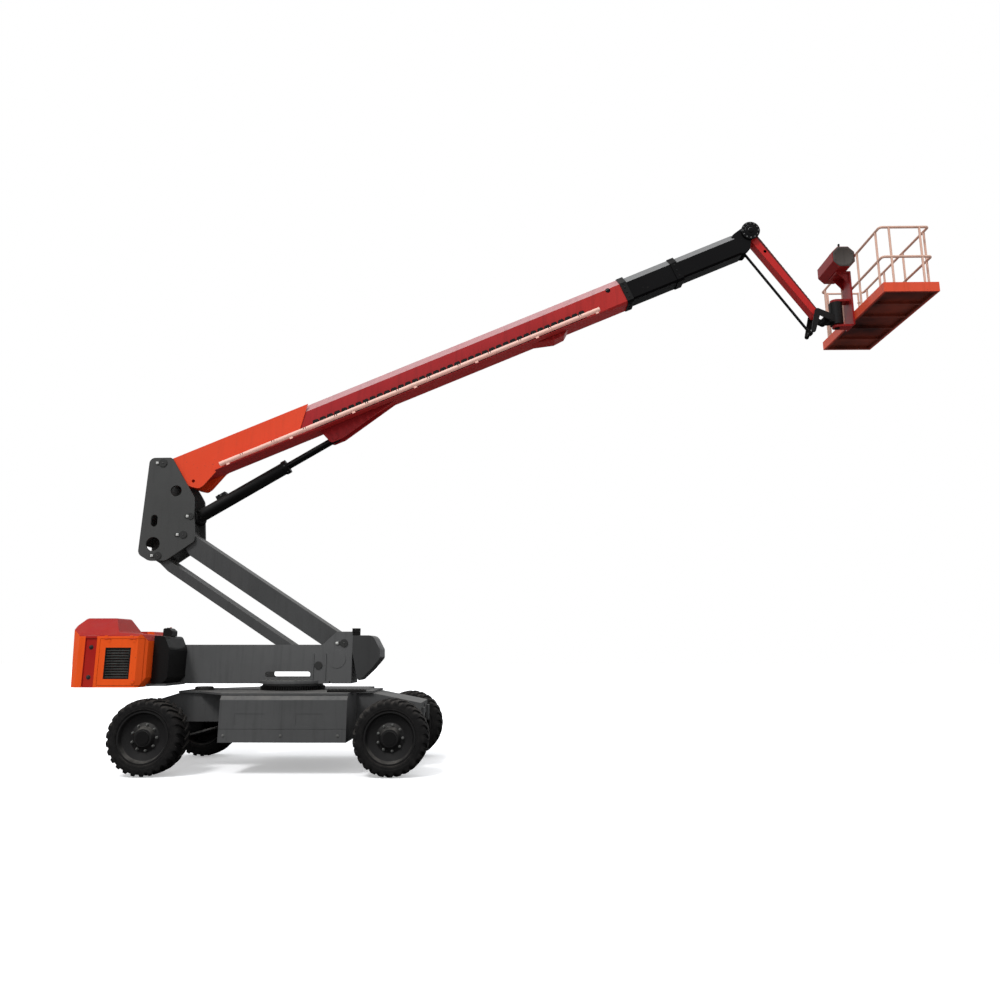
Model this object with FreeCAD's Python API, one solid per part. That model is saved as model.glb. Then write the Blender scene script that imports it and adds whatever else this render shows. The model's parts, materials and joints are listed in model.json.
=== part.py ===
import FreeCAD, Part
import math
import os

V = FreeCAD.Vector

# ---------------------------------------------------------------------------
# Articulating telescopic boom lift.  Millimetres, +Z up, ground at z = 0.
# +X points to the platform, -Y is the left side.  Every piece is drawn about
# the slew axis (x = 0) and shifted by ORIGIN_X when it is written, so that the
# origin is the middle of the whole machine's footprint box.
# ---------------------------------------------------------------------------

# ground gear
TYRE_D = 1030.0
TYRE_W = 400.0
RIM_D = 710.0
WHEELBASE = 3360.0
TRACK = 2090.0
STEER_X = -WHEELBASE / 2
DRIVE_X = WHEELBASE / 2
AXLE_Z = TYRE_D / 2
KINGPIN_Y = 780.0
KINGPIN_R = 32.0
SPINDLE_R = 90.0
STEER_ARM = 260.0
STEER_ARM_HALF = 30.0
TIE_BALL_R = 14.0

# chassis
DECK_Z = 1100.0
DECK_T = 30.0
FRAME_HALF = 430.0
FRAME_BOTTOM = 660.0
FRAME_WALL = 14.0
FRAME_OVERHANG = 330.0
BOX_X0, BOX_X1 = -702.0, 1062.0
BOX_HALF = 1100.0
BOX_BOTTOM = 442.0
BOX_WALL = 8.0
DECK_TAPER_X = -1250.0
DECK_X0, DECK_X1 = -1550.0, 1300.0
FRAME_END_Z = 930.0
HAND_HOLE_Z = 835.0
HAND_HOLE_R = 60.0
LUG_BORE_R = 32.0
LUG_T = 40.0
LUG_R = 60.0
LUG_Y = 300.0
LUG_Z = 690.0
LUG_TOP = 860.0

# slew ring and turntable
RING_R = 480.0
RING_BORE_R = 340.0
RING_TOP = 1165.0
RING_TEETH = 80
TOOTH_H = 22.0
PLATE_TOP = 1240.0
PLATE_T = 45.0
GIRDER_IN = 200.0
GIRDER_T = 36.0
GIRDER_OUT = GIRDER_IN + GIRDER_T
GIRDER_TOP = 1766.0
GIRDER_HORN_TOP = 1961.0
GIRDER_HORN_X = 690.0
GIRDER_END_X = 933.0
GIRDER_TAIL_X = -1951.0
PLATE_X1 = 600.0
SLOT_X0, SLOT_X1 = -366.0, 313.0
SLOT_Z0, SLOT_Z1 = 1286.0, 1369.0
SLOT_R = 38.0
NOSE_WALL = 10.0
LINK_SWEEP = 170.0

# tail: counterweight, hoods, tanks
TAIL_X = -2874.0
TAIL_HALF = 1130.0
TAIL_BOTTOM = 1175.0
TAIL_TOP = 2140.0
RIGHT_DROP = 165.0
SHOULDER_Y, SHOULDER_Z = -800.0, 1890.0
ENGINE_TOP = 1640.0
HOOD_X0, HOOD_X1 = -2450.0, -1800.0
HOOD_LOW_TOP = 1925.0
HOOD_WALL = 6.0
TAIL_SLOT_HALF = 375.0
TANK_HALF = 860.0
TANK_X1 = -1566.0
WEIGHT_FLOOR = 1320.0
WING_T = 30.0
WING_Z0 = PLATE_TOP - PLATE_T - 10
DOOR_GAP = 5.0

# riser: a parallelogram of an upper and a lower link
RISER_ANGLE = 147.2
RISER_LENGTH = 3060.0
RISER_A = (806.0, 1791.0)
RISER_OFFSET = (-374.0, -328.0)
LINK_HALF = 188.0
UPPER_TOP, UPPER_LOW, UPPER_EYE_R = 80.0, -212.0, 105.0
LOWER_TOP, LOWER_LOW, LOWER_EYE_R = 25.0, -115.0, 70.0
LINK_TAPER = 260.0
LINK_WALL = 12.0
RISER_PIN_R = 45.0
PIN_CLEAR = 0.05
SEAT_GAP = 0.3

# upright between riser and boom
BOOM_PIVOT = (-409.0, 1146.0)
CYL_PIVOT = (93.0, 290.0)
BACK_PLATE_T = 16.0

# boom
BOOM_ANGLE = 23.08
BOOM_TOP = 28.0
BASE_W, BASE_H, BASE_WALL = 360.0, 460.0, 8.0
MID_W, MID_H, MID_WALL = 325.0, 425.0, 7.0
FLY_W, FLY_H, FLY_WALL = 292.0, 390.0, 6.0
BASE_FACET, MID_FACET, FLY_FACET = (60.0, 110.0), (57.0, 103.0), (54.0, 96.0)
BOOM_CHAMFER = 30.0
TOP_CLEAR = 5.0
BASE_LOW = BOOM_TOP - BASE_H
MID_TOP = BOOM_TOP - BASE_WALL - TOP_CLEAR
FLY_TOP = MID_TOP - MID_WALL - TOP_CLEAR
BASE_U0, BASE_U1 = 144.0, 7903.0
COLLAR_L = 115.0
COLLAR_PROUD = 12.0
MID_U0, MID_U1 = 1450.0, 8828.0
FLY_U0, FLY_U1 = 2400.0, 9998.0
PAD_CLEAR = 0.5
PAD_L = 180.0
ROOT_PLATE_T = 14.0
ROOT_TOP_U, ROOT_LOW_U = 2447.0, 2121.0
ROOT_GAP_HALF = 125.0
BOOM_PIN_R = 50.0

# boom lift cylinder
ROD_EYE = (2647.0, -631.0)
BARREL_R, BARREL_BORE_R = 100.0, 78.0
ROD_R = 56.0
BARREL_L = 1600.0
ROD_INNER = 1026.0
LIFT_PIN_R = 38.0
BARREL_EYE_R = 85.0
BARREL_EYE_HALF = 190.0
CYL_PIN_R = 30.0
CYL_EYE_R = 48.0
EAR_GAP_HALF = 76.0
EAR_T = 25.0

# fly nose, jib, ties
JIB_PIVOT = (10332.0, -64.0)
JIB_VECTOR = (1006.0, -1449.0)
TIE_OFFSET = (-91.0, -331.0)
NOSE_IN, NOSE_T = 112.0, 22.0
NOSE_R = 140.0
ACTUATOR_R = 155.0
JIB_HALF = 85.0
JIB_ROOT_DEPTH, JIB_END_DEPTH = 150.0, 112.0
JIB_WALL = 7.0
JIB_PIN_R = 32.0
TIE_HALF = 30.0
TIE_R = 21.0
TIE_PIN_R = 20.0
TIE_EYE_R = 36.0

# platform and its head
HEAD_IN, HEAD_T = 140.0, 18.0
MOUNT_ARM_HALF = 80.0
LEVEL_OFFSET = (184.0, -91.0)
HEAD_K_R, HEAD_J_R, HEAD_P_R = 36.0, 50.0, 56.0
ROTATOR_STEP = 175.0
ROTATOR_R = 104.0
ROTATOR_BELOW, ROTATOR_ABOVE = 95.0, 285.0
PLATFORM_STEP = 235.0
PLATFORM_DROP = 63.0
PLATFORM_W = 835.0
PLATFORM_L = 2320.0
KICK_H = 150.0
KICK_T = 6.0
RAIL_H = 1100.0
RAIL_MID_H = 590.0
RAIL_R = 20.0
RAIL_INSET = 45.0
RAIL_BEND = 130.0
GATE_W = 640.0
GATE_CLEAR = 10.0
GATE_R = 16.0
CONSOLE_BACK, CONSOLE_FRONT = 345.0, 19.0
CONSOLE_LIFT = 858.0
CONSOLE_H = 360.0
CONSOLE_Y0, CONSOLE_Y1 = -300.0, 320.0
FLOOR_UP = 46.0
FLOOR_PANEL_T = 6.0
FLOOR_PANEL_INSET = 75.0


# ---------------------------------------------------------------------------
# geometry helpers
# ---------------------------------------------------------------------------

PLANES = {
    "XZ": (lambda a, b: V(a, 0, b), V(0, 1, 0)),
    "XY": (lambda a, b: V(a, b, 0), V(0, 0, 1)),
    "YZ": (lambda a, b: V(0, a, b), V(1, 0, 0)),
}


def wire(points, plane="XZ"):
    """Closed outline; a third number on a point rounds that corner."""
    to3d = PLANES[plane][0]
    corners = []
    count = len(points)
    for i, point in enumerate(points):
        here = to3d(point[0], point[1])
        radius = point[2] if len(point) > 2 else 0
        if not radius:
            corners.append((here, here, None))
            continue
        before = (to3d(*points[i - 1][:2]) - here).normalize()
        after = (to3d(*points[(i + 1) % count][:2]) - here).normalize()
        half = before.getAngle(after) / 2
        reach = radius / math.tan(half)
        bisector = (before + after).normalize()
        middle = here + bisector * (radius / math.sin(half) - radius)
        corners.append((here + before * reach, here + after * reach, middle))
    edges = []
    for i, (start, end, middle) in enumerate(corners):
        if middle is not None:
            edges.append(Part.Arc(start, middle, end).toShape())
        following = corners[(i + 1) % count][0]
        if end.distanceToPoint(following) > 1e-6:
            edges.append(Part.LineSegment(end, following).toShape())
    return Part.Wire(edges)


def prism(points, low, high, plane="XZ"):
    """The outline, extruded from low to high along the plane's normal."""
    normal = PLANES[plane][1]
    face = Part.Face(wire(points, plane))
    face.translate(normal * low)
    return face.extrude(normal * (high - low))


def box(x0, x1, y0, y1, z0, z1):
    return Part.makeBox(x1 - x0, y1 - y0, z1 - z0, V(x0, y0, z0))


def rod(start, end, radius):
    axis = end - start
    return Part.makeCylinder(radius, axis.Length, start, axis)


def rod_y(x, z, radius, y0, y1):
    return Part.makeCylinder(radius, y1 - y0, V(x, y0, z), V(0, 1, 0))


def rod_z(x, y, radius, z0, z1):
    return Part.makeCylinder(radius, z1 - z0, V(x, y, z0), V(0, 0, 1))


def tube(start, end, outer, inner):
    return rod(start, end, outer).cut(rod(start, end, inner))


def fuse(*pieces):
    whole = pieces[0]
    if len(pieces) > 1:
        whole = whole.multiFuse(list(pieces[1:]))
    return whole.removeSplitter()


def cut(body, *tools):
    return body.cut(Part.makeCompound(list(tools))).removeSplitter()


def mirror_y(shape):
    return shape.mirror(V(0, 0, 0), V(0, 1, 0))


def both_sides(shape):
    """The piece and its mirror image, left and right, as separate solids."""
    return Part.makeCompound([shape, mirror_y(shape)])


def hollow_plate(points, y0, y1, wall):
    """A welded box: the outline between y0 and y1, hollow behind its walls."""
    inner = Part.Face(wire(points)).makeOffset2D(-wall)
    inner.translate(V(0, y0 + wall, 0))
    return prism(points, y0, y1).cut(inner.extrude(V(0, y1 - y0 - 2 * wall, 0)))


def section(width, height, top, facet, grow=0.0):
    """Face of a bent-plate boom section across the boom, grown outwards by grow."""
    y, low = width / 2, top - height
    half = [(y - facet[0], top), (y, top - facet[1]), (y, low + BOOM_CHAMFER), (y - BOOM_CHAMFER, low)]
    face = Part.Face(wire(half + [(-a, b) for a, b in reversed(half)], "YZ"))
    return face.makeOffset2D(grow, 2) if grow else face


def section_prism(face, u0, u1):
    shape = face.copy()
    shape.translate(V(u0, 0, 0))
    return shape.extrude(V(u1 - u0, 0, 0))


def section_ring(outer, inner, u0, u1):
    """The solid between two section faces, from u0 to u1 along the boom."""
    return section_prism(outer, u0, u1).cut(section_prism(inner, u0 - 1, u1 + 1))


BASE_SECTION = (BASE_W, BASE_H, BOOM_TOP, BASE_FACET)
MID_SECTION = (MID_W, MID_H, MID_TOP, MID_FACET)
FLY_SECTION = (FLY_W, FLY_H, FLY_TOP, FLY_FACET)


def section_tube(sizes, wall, u0, u1):
    return section_ring(section(*sizes), section(*sizes, -wall), u0, u1)


def polar(start, length, degrees):
    angle = math.radians(degrees)
    return (start[0] + length * math.cos(angle), start[1] + length * math.sin(angle))


def add(point, step):
    return (point[0] + step[0], point[1] + step[1])


def capsule(start, end, r0, r1):
    """Outline of a bar with round ends of radius r0 and r1, as a face in XZ."""
    first = Part.makeCircle(r0, V(start[0], 0, start[1]), V(0, 1, 0))
    second = Part.makeCircle(r1, V(end[0], 0, end[1]), V(0, 1, 0))
    length = math.hypot(end[0] - start[0], end[1] - start[1])
    along = math.atan2(end[1] - start[1], end[0] - start[0])
    lean = math.acos((r0 - r1) / length)
    corners = []
    for centre, radius, side in ((start, r0, 1), (end, r1, 1), (end, r1, -1), (start, r0, -1)):
        corners.append(polar(centre, radius, math.degrees(along + side * lean)))
    body = Part.Face(Part.makePolygon([V(a, 0, b) for a, b in corners + corners[:1]]))
    faces = [Part.Face(Part.Wire(first)), Part.Face(Part.Wire(second))]
    return body.multiFuse(faces).removeSplitter().Faces[0]


def capsule_plate(start, end, r0, r1, y0, y1):
    face = capsule(start, end, r0, r1)
    face.translate(V(0, y0, 0))
    return face.extrude(V(0, y1 - y0, 0))


def boom_place(shape):
    """From boom coordinates (u along, w up, from the boom pivot) to the machine."""
    shape = shape.copy()
    shape.rotate(V(0, 0, 0), V(0, 1, 0), -BOOM_ANGLE)
    shape.translate(V(PIN_E[0], 0, PIN_E[1]))
    return shape


def boom_point(u, w):
    angle = math.radians(BOOM_ANGLE)
    return (
        PIN_E[0] + u * math.cos(angle) - w * math.sin(angle),
        PIN_E[1] + u * math.sin(angle) + w * math.cos(angle),
    )


# joint centres, all in the XZ plane of the machine
PIN_A = RISER_A
PIN_C = add(PIN_A, RISER_OFFSET)
PIN_B = polar(PIN_A, RISER_LENGTH, RISER_ANGLE)
PIN_D = add(PIN_B, RISER_OFFSET)
PIN_E = add(PIN_B, BOOM_PIVOT)
PIN_F = add(PIN_B, CYL_PIVOT)
PIN_G = boom_point(*ROD_EYE)
PIN_H = boom_point(*JIB_PIVOT)
PIN_L = add(PIN_H, TIE_OFFSET)
PIN_J = add(PIN_H, JIB_VECTOR)
PIN_K = add(PIN_J, TIE_OFFSET)
PIN_P = add(PIN_J, LEVEL_OFFSET)

# the platform and its rotator follow the head's upper pin
ROTATOR_X = PIN_P[0] + ROTATOR_STEP
ROTATOR_Z0, ROTATOR_Z1 = PIN_P[1] - ROTATOR_BELOW, PIN_P[1] + ROTATOR_ABOVE
PLATFORM_X0 = ROTATOR_X + PLATFORM_STEP
PLATFORM_Z = PIN_P[1] - PLATFORM_DROP
CONSOLE_X0, CONSOLE_X1 = PLATFORM_X0 - CONSOLE_BACK, PLATFORM_X0 + CONSOLE_FRONT
CONSOLE_Z0 = PLATFORM_Z + CONSOLE_LIFT
CONSOLE_Z1 = CONSOLE_Z0 + CONSOLE_H

# footprint box, from the tail to the outer side of the platform
ORIGIN_X = (TAIL_X + PLATFORM_X0 + PLATFORM_W) / 2


# ---------------------------------------------------------------------------
# ground gear
# ---------------------------------------------------------------------------

def tyre_solid():
    r, w, bead = TYRE_D / 2, TYRE_W / 2, RIM_D / 2
    half = [(-w + 22, bead), (-w, bead + 26, 20), (-w, r - 60, 40), (-w + 45, r, 30)]
    mirrored = [(-p[0],) + p[1:] for p in reversed(half)]
    profile = Part.Face(wire([(p[0], p[1]) + tuple(p[2:]) for p in half + mirrored], "YZ"))
    return profile.revolve(V(0, 0, 0), V(0, 1, 0), 360)


def rim_solid():
    """One-piece wheel: barrel, dished disc and hub cover, bored for its spindle."""
    bead, w = RIM_D / 2 - 0.3, TYRE_W / 2
    bore = SPINDLE_R + PIN_CLEAR
    profile = [
        (-w + 12, bead), (-w + 12, bead - 22), (-w + 70, bead - 46, 12), (-w + 92, 200, 20), (-w + 72, 150,
                                                                                              16), (-w + 24,
                                                                                                    118, 10),
        (-w + 24, bore), (w - 230, bore), (w - 230, 170, 16), (-w + 124, 215, 16), (-w + 104, bead - 46, 14),
        (w - 40, bead - 46, 14), (w - 12, bead - 22), (w - 12, bead),
    ]
    face = Part.Face(wire(profile, "YZ"))
    solid = face.revolve(V(0, 0, 0), V(0, 1, 0), 360)
    return solid


def wheel(x, side):
    """Tyre and rim at one corner; side is -1 on the left and 1 on the right."""
    tyre, rim = tyre_solid(), rim_solid()
    if side > 0:
        tyre, rim = mirror_y(tyre), mirror_y(rim)
    shift = V(x, side * TRACK / 2, AXLE_Z)
    tyre.translate(shift)
    rim.translate(shift)
    return tyre, rim


SPINDLE_TIP = TRACK / 2 + TYRE_W / 2 - 10.0
SPINDLE_ROOT = KINGPIN_Y + 92.0
YOKE_HALF = 66.0
YOKE_GAP = 95.0
YOKE_T = 60.0


def spindle(x, side):
    y0, y1 = SPINDLE_ROOT, SPINDLE_TIP
    stub = rod(V(x, side * y0, AXLE_Z), V(x, side * y1, AXLE_Z), SPINDLE_R)
    flange = rod(V(x, side * (y0 - 20), AXLE_Z), V(x, side * (y0 + 45), AXLE_Z), 150)
    return stub.fuse(flange)


def steer_axle():
    beam = box(STEER_X - 100, STEER_X + 100, -KINGPIN_Y + 140, KINGPIN_Y - 140, AXLE_Z - 110, AXLE_Z + 110)
    saddle = box(STEER_X - 130, STEER_X + 130, -190, 190, AXLE_Z + 110, FRAME_BOTTOM)
    pieces = [saddle]
    for side in (-1, 1):
        y = side * KINGPIN_Y
        inner = side * (KINGPIN_Y - 140)
        far = inner + side * 50
        pieces.append(box(STEER_X - YOKE_HALF, STEER_X + YOKE_HALF, min(inner, far), max(inner, far),
                          AXLE_Z - YOKE_GAP - YOKE_T, AXLE_Z + YOKE_GAP + YOKE_T))
        for z in (AXLE_Z - YOKE_GAP - YOKE_T, AXLE_Z + YOKE_GAP):
            ear = box(STEER_X - YOKE_HALF, STEER_X + YOKE_HALF, min(inner, y), max(inner, y), z, z + YOKE_T)
            ear = ear.fuse(rod_z(STEER_X, y, YOKE_HALF, z, z + YOKE_T))
            pieces.append(ear.cut(rod_z(STEER_X, y, KINGPIN_R + PIN_CLEAR, z - 1, z + YOKE_T + 1)))
    return fuse(beam, *pieces)


def steer_knuckle(side):
    """Hub carrier on its kingpin, with the arm that the tie rod holds."""
    y = side * KINGPIN_Y
    block = rod_z(STEER_X, y, YOKE_HALF - 6, AXLE_Z - YOKE_GAP + 2, AXLE_Z + YOKE_GAP - 2)
    reach = rod(V(STEER_X, y, AXLE_Z), V(STEER_X, side * (SPINDLE_ROOT + 5), AXLE_Z), 84)
    pin = rod_z(STEER_X, y, KINGPIN_R, AXLE_Z - YOKE_GAP - YOKE_T, AXLE_Z + YOKE_GAP + YOKE_T)
    half = STEER_ARM_HALF
    arm = box(STEER_X, STEER_X + STEER_ARM, y - half, y + half, AXLE_Z - 24, AXLE_Z + 24)
    arm = arm.fuse(rod_z(STEER_X + STEER_ARM, y, half, AXLE_Z - 24, AXLE_Z + 24))
    eye = rod_z(STEER_X + STEER_ARM, y, TIE_BALL_R + PIN_CLEAR, AXLE_Z - 40, AXLE_Z + 40)
    return fuse(block, reach, pin, arm, spindle(STEER_X, side)).cut(eye)


def tie_rod():
    x, y = STEER_X + STEER_ARM, KINGPIN_Y
    bar = rod(V(x, -y + 10, AXLE_Z - 52), V(x, y - 10, AXLE_Z - 52), 20)
    ends = []
    for side in (-1, 1):
        ends.append(rod_z(x, side * y, 30, AXLE_Z - 76, AXLE_Z - 26))
        ends.append(rod_z(x, side * y, TIE_BALL_R, AXLE_Z - 30, AXLE_Z + 30))
    return fuse(bar, *ends)


def drive_axle():
    beam = box(DRIVE_X - 110, DRIVE_X + 110, -SPINDLE_ROOT + 30, SPINDLE_ROOT - 30, AXLE_Z - 110,
               AXLE_Z + 110)
    saddle = box(DRIVE_X - 150, DRIVE_X + 150, -FRAME_HALF + 60, FRAME_HALF - 60, AXLE_Z + 110, FRAME_BOTTOM)
    motors = [rod(V(DRIVE_X, s * (SPINDLE_ROOT - 140), AXLE_Z), V(DRIVE_X, s * SPINDLE_ROOT, AXLE_Z),
                  140) for s in (-1, 1)]
    return fuse(beam, saddle, spindle(DRIVE_X, -1), spindle(DRIVE_X, 1), *motors)


# ---------------------------------------------------------------------------
# chassis
# ---------------------------------------------------------------------------

FRAME_X0 = STEER_X - FRAME_OVERHANG
FRAME_X1 = DRIVE_X + FRAME_OVERHANG
DECK_BOTTOM = DECK_Z - DECK_T


def chassis_frame():
    """Hollow centre girder that rests on both axles and carries the slew ring."""
    nip = FRAME_BOTTOM + 90
    side = [(FRAME_X0, nip), (FRAME_X0 + 130, FRAME_BOTTOM), (FRAME_X1 - 130, FRAME_BOTTOM), (FRAME_X1, nip),
            (FRAME_X1, FRAME_END_Z), (DECK_X1, DECK_BOTTOM), (DECK_X0, DECK_BOTTOM), (FRAME_X0, FRAME_END_Z)]
    shell = hollow_plate(side, -FRAME_HALF, FRAME_HALF, FRAME_WALL)
    ends = (FRAME_X0 - 100, FRAME_X1 - 100)
    hand_holes = [rod(V(x, 0, HAND_HOLE_Z), V(x + 200, 0, HAND_HOLE_Z), HAND_HOLE_R) for x in ends]
    return cut(shell, *hand_holes)


def deck_plate():
    """Top plate: as wide as the side boxes, tapering to the frame over the steered wheels."""
    t = FRAME_HALF + 40
    half = [(DECK_X0, t), (DECK_TAPER_X, t), (BOX_X0, BOX_HALF - 40), (BOX_X1, BOX_HALF - 40), (BOX_X1, t),
            (DECK_X1, t)]
    points = half + [(x, -y) for x, y in reversed(half)]
    return prism(points, DECK_BOTTOM, DECK_Z, "XY")


def side_box():
    """Left side box with its top edge folded over and two pressed panels."""
    shape = [(-BOX_HALF, BOX_BOTTOM), (-BOX_HALF, DECK_BOTTOM - 60, 20), (-BOX_HALF + 50, DECK_BOTTOM),
             (-FRAME_HALF, DECK_BOTTOM), (-FRAME_HALF, BOX_BOTTOM + 120), (-FRAME_HALF - 120, BOX_BOTTOM)]
    outer = prism(shape, BOX_X0, BOX_X1, "YZ")
    w = BOX_WALL
    inner = prism([(-BOX_HALF + w, BOX_BOTTOM + w), (-BOX_HALF + w, DECK_BOTTOM - 64),
                   (-BOX_HALF + 55, DECK_BOTTOM - w),
                   (-FRAME_HALF - w, DECK_BOTTOM - w), (-FRAME_HALF - w, BOX_BOTTOM + 124),
                   (-FRAME_HALF - 124, BOX_BOTTOM + w)], BOX_X0 + w, BOX_X1 - w, "YZ")
    depth = w / 2
    panels = []
    for x0, x1 in ((-490.0, -70.0), (360.0, 740.0)):
        panels.append(box(x0, x1, -BOX_HALF, -BOX_HALF + depth, 665, 825))
    seam = box(BOX_X0, BOX_X1, -BOX_HALF, -BOX_HALF + depth, 610, 622)
    drain = box(BOX_X0 + 300, BOX_X1 - 300, -BOX_HALF + 200, -FRAME_HALF - 200, BOX_BOTTOM - 1,
                BOX_BOTTOM + w + 1)
    return cut(outer, inner, seam, drain, *panels)


def tie_down_lugs():
    """Four lugs flat against the frame's end plates, to lash or lift the machine by."""
    lugs = []
    for x0 in (FRAME_X0 - LUG_T, FRAME_X1):
        for y in (-LUG_Y, LUG_Y):
            low, high = V(x0, y, LUG_Z), V(x0 + LUG_T, y, LUG_Z)
            plate = box(x0, x0 + LUG_T, y - LUG_R, y + LUG_R, LUG_Z, LUG_TOP).fuse(rod(low, high, LUG_R))
            lugs.append(plate.cut(rod(low - V(1, 0, 0), high + V(1, 0, 0), LUG_BORE_R)))
    return Part.makeCompound(lugs)


def slew_ring():
    """Fixed race with outside teeth for the slew pinion."""
    race = rod_z(0, 0, RING_R - TOOTH_H, DECK_Z, RING_TOP)
    pitch = 360.0 / RING_TEETH
    root, tip = pitch * 0.34, pitch * 0.16
    teeth = []
    for i in range(RING_TEETH):
        corners = [(RING_R - TOOTH_H - 4, -root), (RING_R, -tip), (RING_R, tip), (RING_R - TOOTH_H - 4, root)]
        points = [polar((0, 0), r, i * pitch + a) for r, a in corners]
        teeth.append(prism(points, DECK_Z + 8, RING_TOP - 12, "XY"))
    return fuse(race, *teeth).cut(rod_z(0, 0, RING_BORE_R, DECK_Z - 1, RING_TOP + 1))


# ---------------------------------------------------------------------------
# turntable and tail
# ---------------------------------------------------------------------------

def girder():
    """Left girder plate, with the riser's pin bores and the slot through it."""
    low = PLATE_TOP - PLATE_T
    shape = [(GIRDER_TAIL_X, PLATE_TOP), (PLATE_X1, PLATE_TOP), (PLATE_X1 + 40, low), (GIRDER_END_X, low),
             (GIRDER_END_X, GIRDER_HORN_TOP), (GIRDER_HORN_X, GIRDER_HORN_TOP, 60), (GIRDER_HORN_X - 210,
                                                                                     GIRDER_TOP, 60),
             (GIRDER_TAIL_X, GIRDER_TOP)]
    plate = prism(shape, -GIRDER_OUT, -GIRDER_IN)
    corners = [(SLOT_X0, SLOT_Z0), (SLOT_X1, SLOT_Z0), (SLOT_X1, SLOT_Z1), (SLOT_X0, SLOT_Z1)]
    slot = prism([(x, z, SLOT_R) for x, z in corners], -GIRDER_OUT - 1, -GIRDER_IN + 1)
    ribs = [box(x - 7, x + 7, -GIRDER_OUT - 12, -GIRDER_OUT, PLATE_TOP + 5, GIRDER_TOP - 126) for x in (355,
                                                                                                        540)]
    cover = rod_y(704, 1555, 135, -GIRDER_OUT - 6, -GIRDER_OUT)
    bores = [rod_y(x, z, RISER_PIN_R + PIN_CLEAR, -GIRDER_OUT - 20, -GIRDER_IN + 1) for x,
             z in (PIN_A, PIN_C)]
    return cut(fuse(plate, cover, *ribs), slot, *bores)


def turntable_frame():
    """Base plate with its round seat on the slew ring, both girders and the tail wings."""
    low = PLATE_TOP - PLATE_T
    plate = box(HOOD_X0, PLATE_X1, -GIRDER_OUT, GIRDER_OUT, low, PLATE_TOP)
    disc = rod_z(0, 0, RING_R + 20, low, PLATE_TOP)
    collar = rod_z(0, 0, RING_R - TOOTH_H - 12, RING_TOP + SEAT_GAP, low)
    bulkhead = box(GIRDER_END_X - 18, GIRDER_END_X, -GIRDER_IN, GIRDER_IN, low, low + 405)
    outer, inner = -GIRDER_OUT + 5, -TAIL_HALF + 40
    tank_y = -TANK_HALF - 10
    wing = prism([(HOOD_X0, outer), (HOOD_X0, inner), (-1930, inner), (-1882, -1042), (-1882, tank_y),
                  (TANK_X1 - 4, tank_y), (TANK_X1 - 4, outer)], WING_Z0, WING_Z0 + WING_T, "XY")
    left = girder()
    return fuse(plate, disc, collar, bulkhead, left, mirror_y(left), wing, mirror_y(wing))


def turntable_nose():
    """Rounded box on the front of the girders, open where the upper link's eye turns."""
    shape = [(GIRDER_END_X, 1905), (1234, 1905, 110), (1348, 1700, 60), (1352, 1566, 60), (1219, 1401, 60),
             (1050, 1240), (1020, 1263), (GIRDER_END_X, 1657)]
    body = hollow_plate(shape, -GIRDER_OUT, GIRDER_OUT, NOSE_WALL)
    half = GIRDER_IN + 8
    link_clear = rod_y(PIN_A[0], PIN_A[1], LINK_SWEEP, -half, half)
    swing_clear = box(GIRDER_END_X - 1, PIN_A[0] + LINK_SWEEP, -half, half, PIN_A[1] - 10, 1910)
    return body.cut(link_clear).cut(swing_clear)


def pinned(pin, radius, y_out, keeper):
    """A pin across the machine with a head and a keeper plate at each end."""
    x, z = pin
    shaft = rod_y(x, z, radius, -y_out, y_out)
    parts = [shaft]
    for side in (-1, 1):
        y0, y1 = sorted((side * y_out, side * (y_out + 14)))
        parts.append(rod_y(x, z, radius + 12, y0, y1))
        y0, y1 = sorted((side * y_out, side * (y_out + 12)))
        parts.append(box(x + keeper[0], x, y0, y1, z - 22, z + 22))
    return fuse(*parts)


def riser_base_pins():
    return Part.makeCompound([pinned(PIN_A, RISER_PIN_R, GIRDER_OUT + 0.3, (-130, 0)),
                              pinned(PIN_C, RISER_PIN_R, GIRDER_OUT + 0.3, (-68, 0))])


def tail_block(x0, x1, inset, outline, drop):
    """Form of the tail bodywork between x0 and x1, set in by one wall on every side."""
    outer, inner = -TAIL_HALF + inset, -TAIL_SLOT_HALF - inset
    top, bottom = TAIL_TOP - drop - inset, TAIL_BOTTOM + inset
    side = [(outer, bottom), (outer, SHOULDER_Z - drop, 60), (SHOULDER_Y, top, 60), (inner, top),
            (inner, bottom)]
    across = prism(side, x0, x1, "YZ")
    return across.common(prism(outline, -TAIL_HALF, -TAIL_SLOT_HALF))


def weight_side(drop):
    """Left half of the tail weight; drop lowers its top."""
    front, top = HOOD_X0 - SEAT_GAP, TAIL_TOP - drop
    back = [(TAIL_X + 50, TAIL_BOTTOM), (TAIL_X, top - 110, 60), (TAIL_X + 60, top, 40), (front, top),
            (front, TAIL_BOTTOM)]
    block = tail_block(TAIL_X, front, 0, back, drop)
    y = -TAIL_HALF - 5
    corner = prism([(TAIL_X - 5, y), (TAIL_X + 150, y), (TAIL_X - 5, y + 115)], 1100, 2200, "XY")
    band = box(TAIL_X + 234, HOOD_X0 - 30, -TAIL_HALF - 1, -TAIL_HALF + 14, TAIL_BOTTOM + 20, 1850 - drop)
    return cut(block, corner, band)


def counterweight():
    """Cast tail weight: full width, notched in the middle where the upright comes down."""
    sill = box(TAIL_X + 80, HOOD_X0 - SEAT_GAP, -TAIL_SLOT_HALF, TAIL_SLOT_HALF, TAIL_BOTTOM, WEIGHT_FLOOR)
    return fuse(weight_side(0), mirror_y(weight_side(RIGHT_DROP)), sill)


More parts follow.
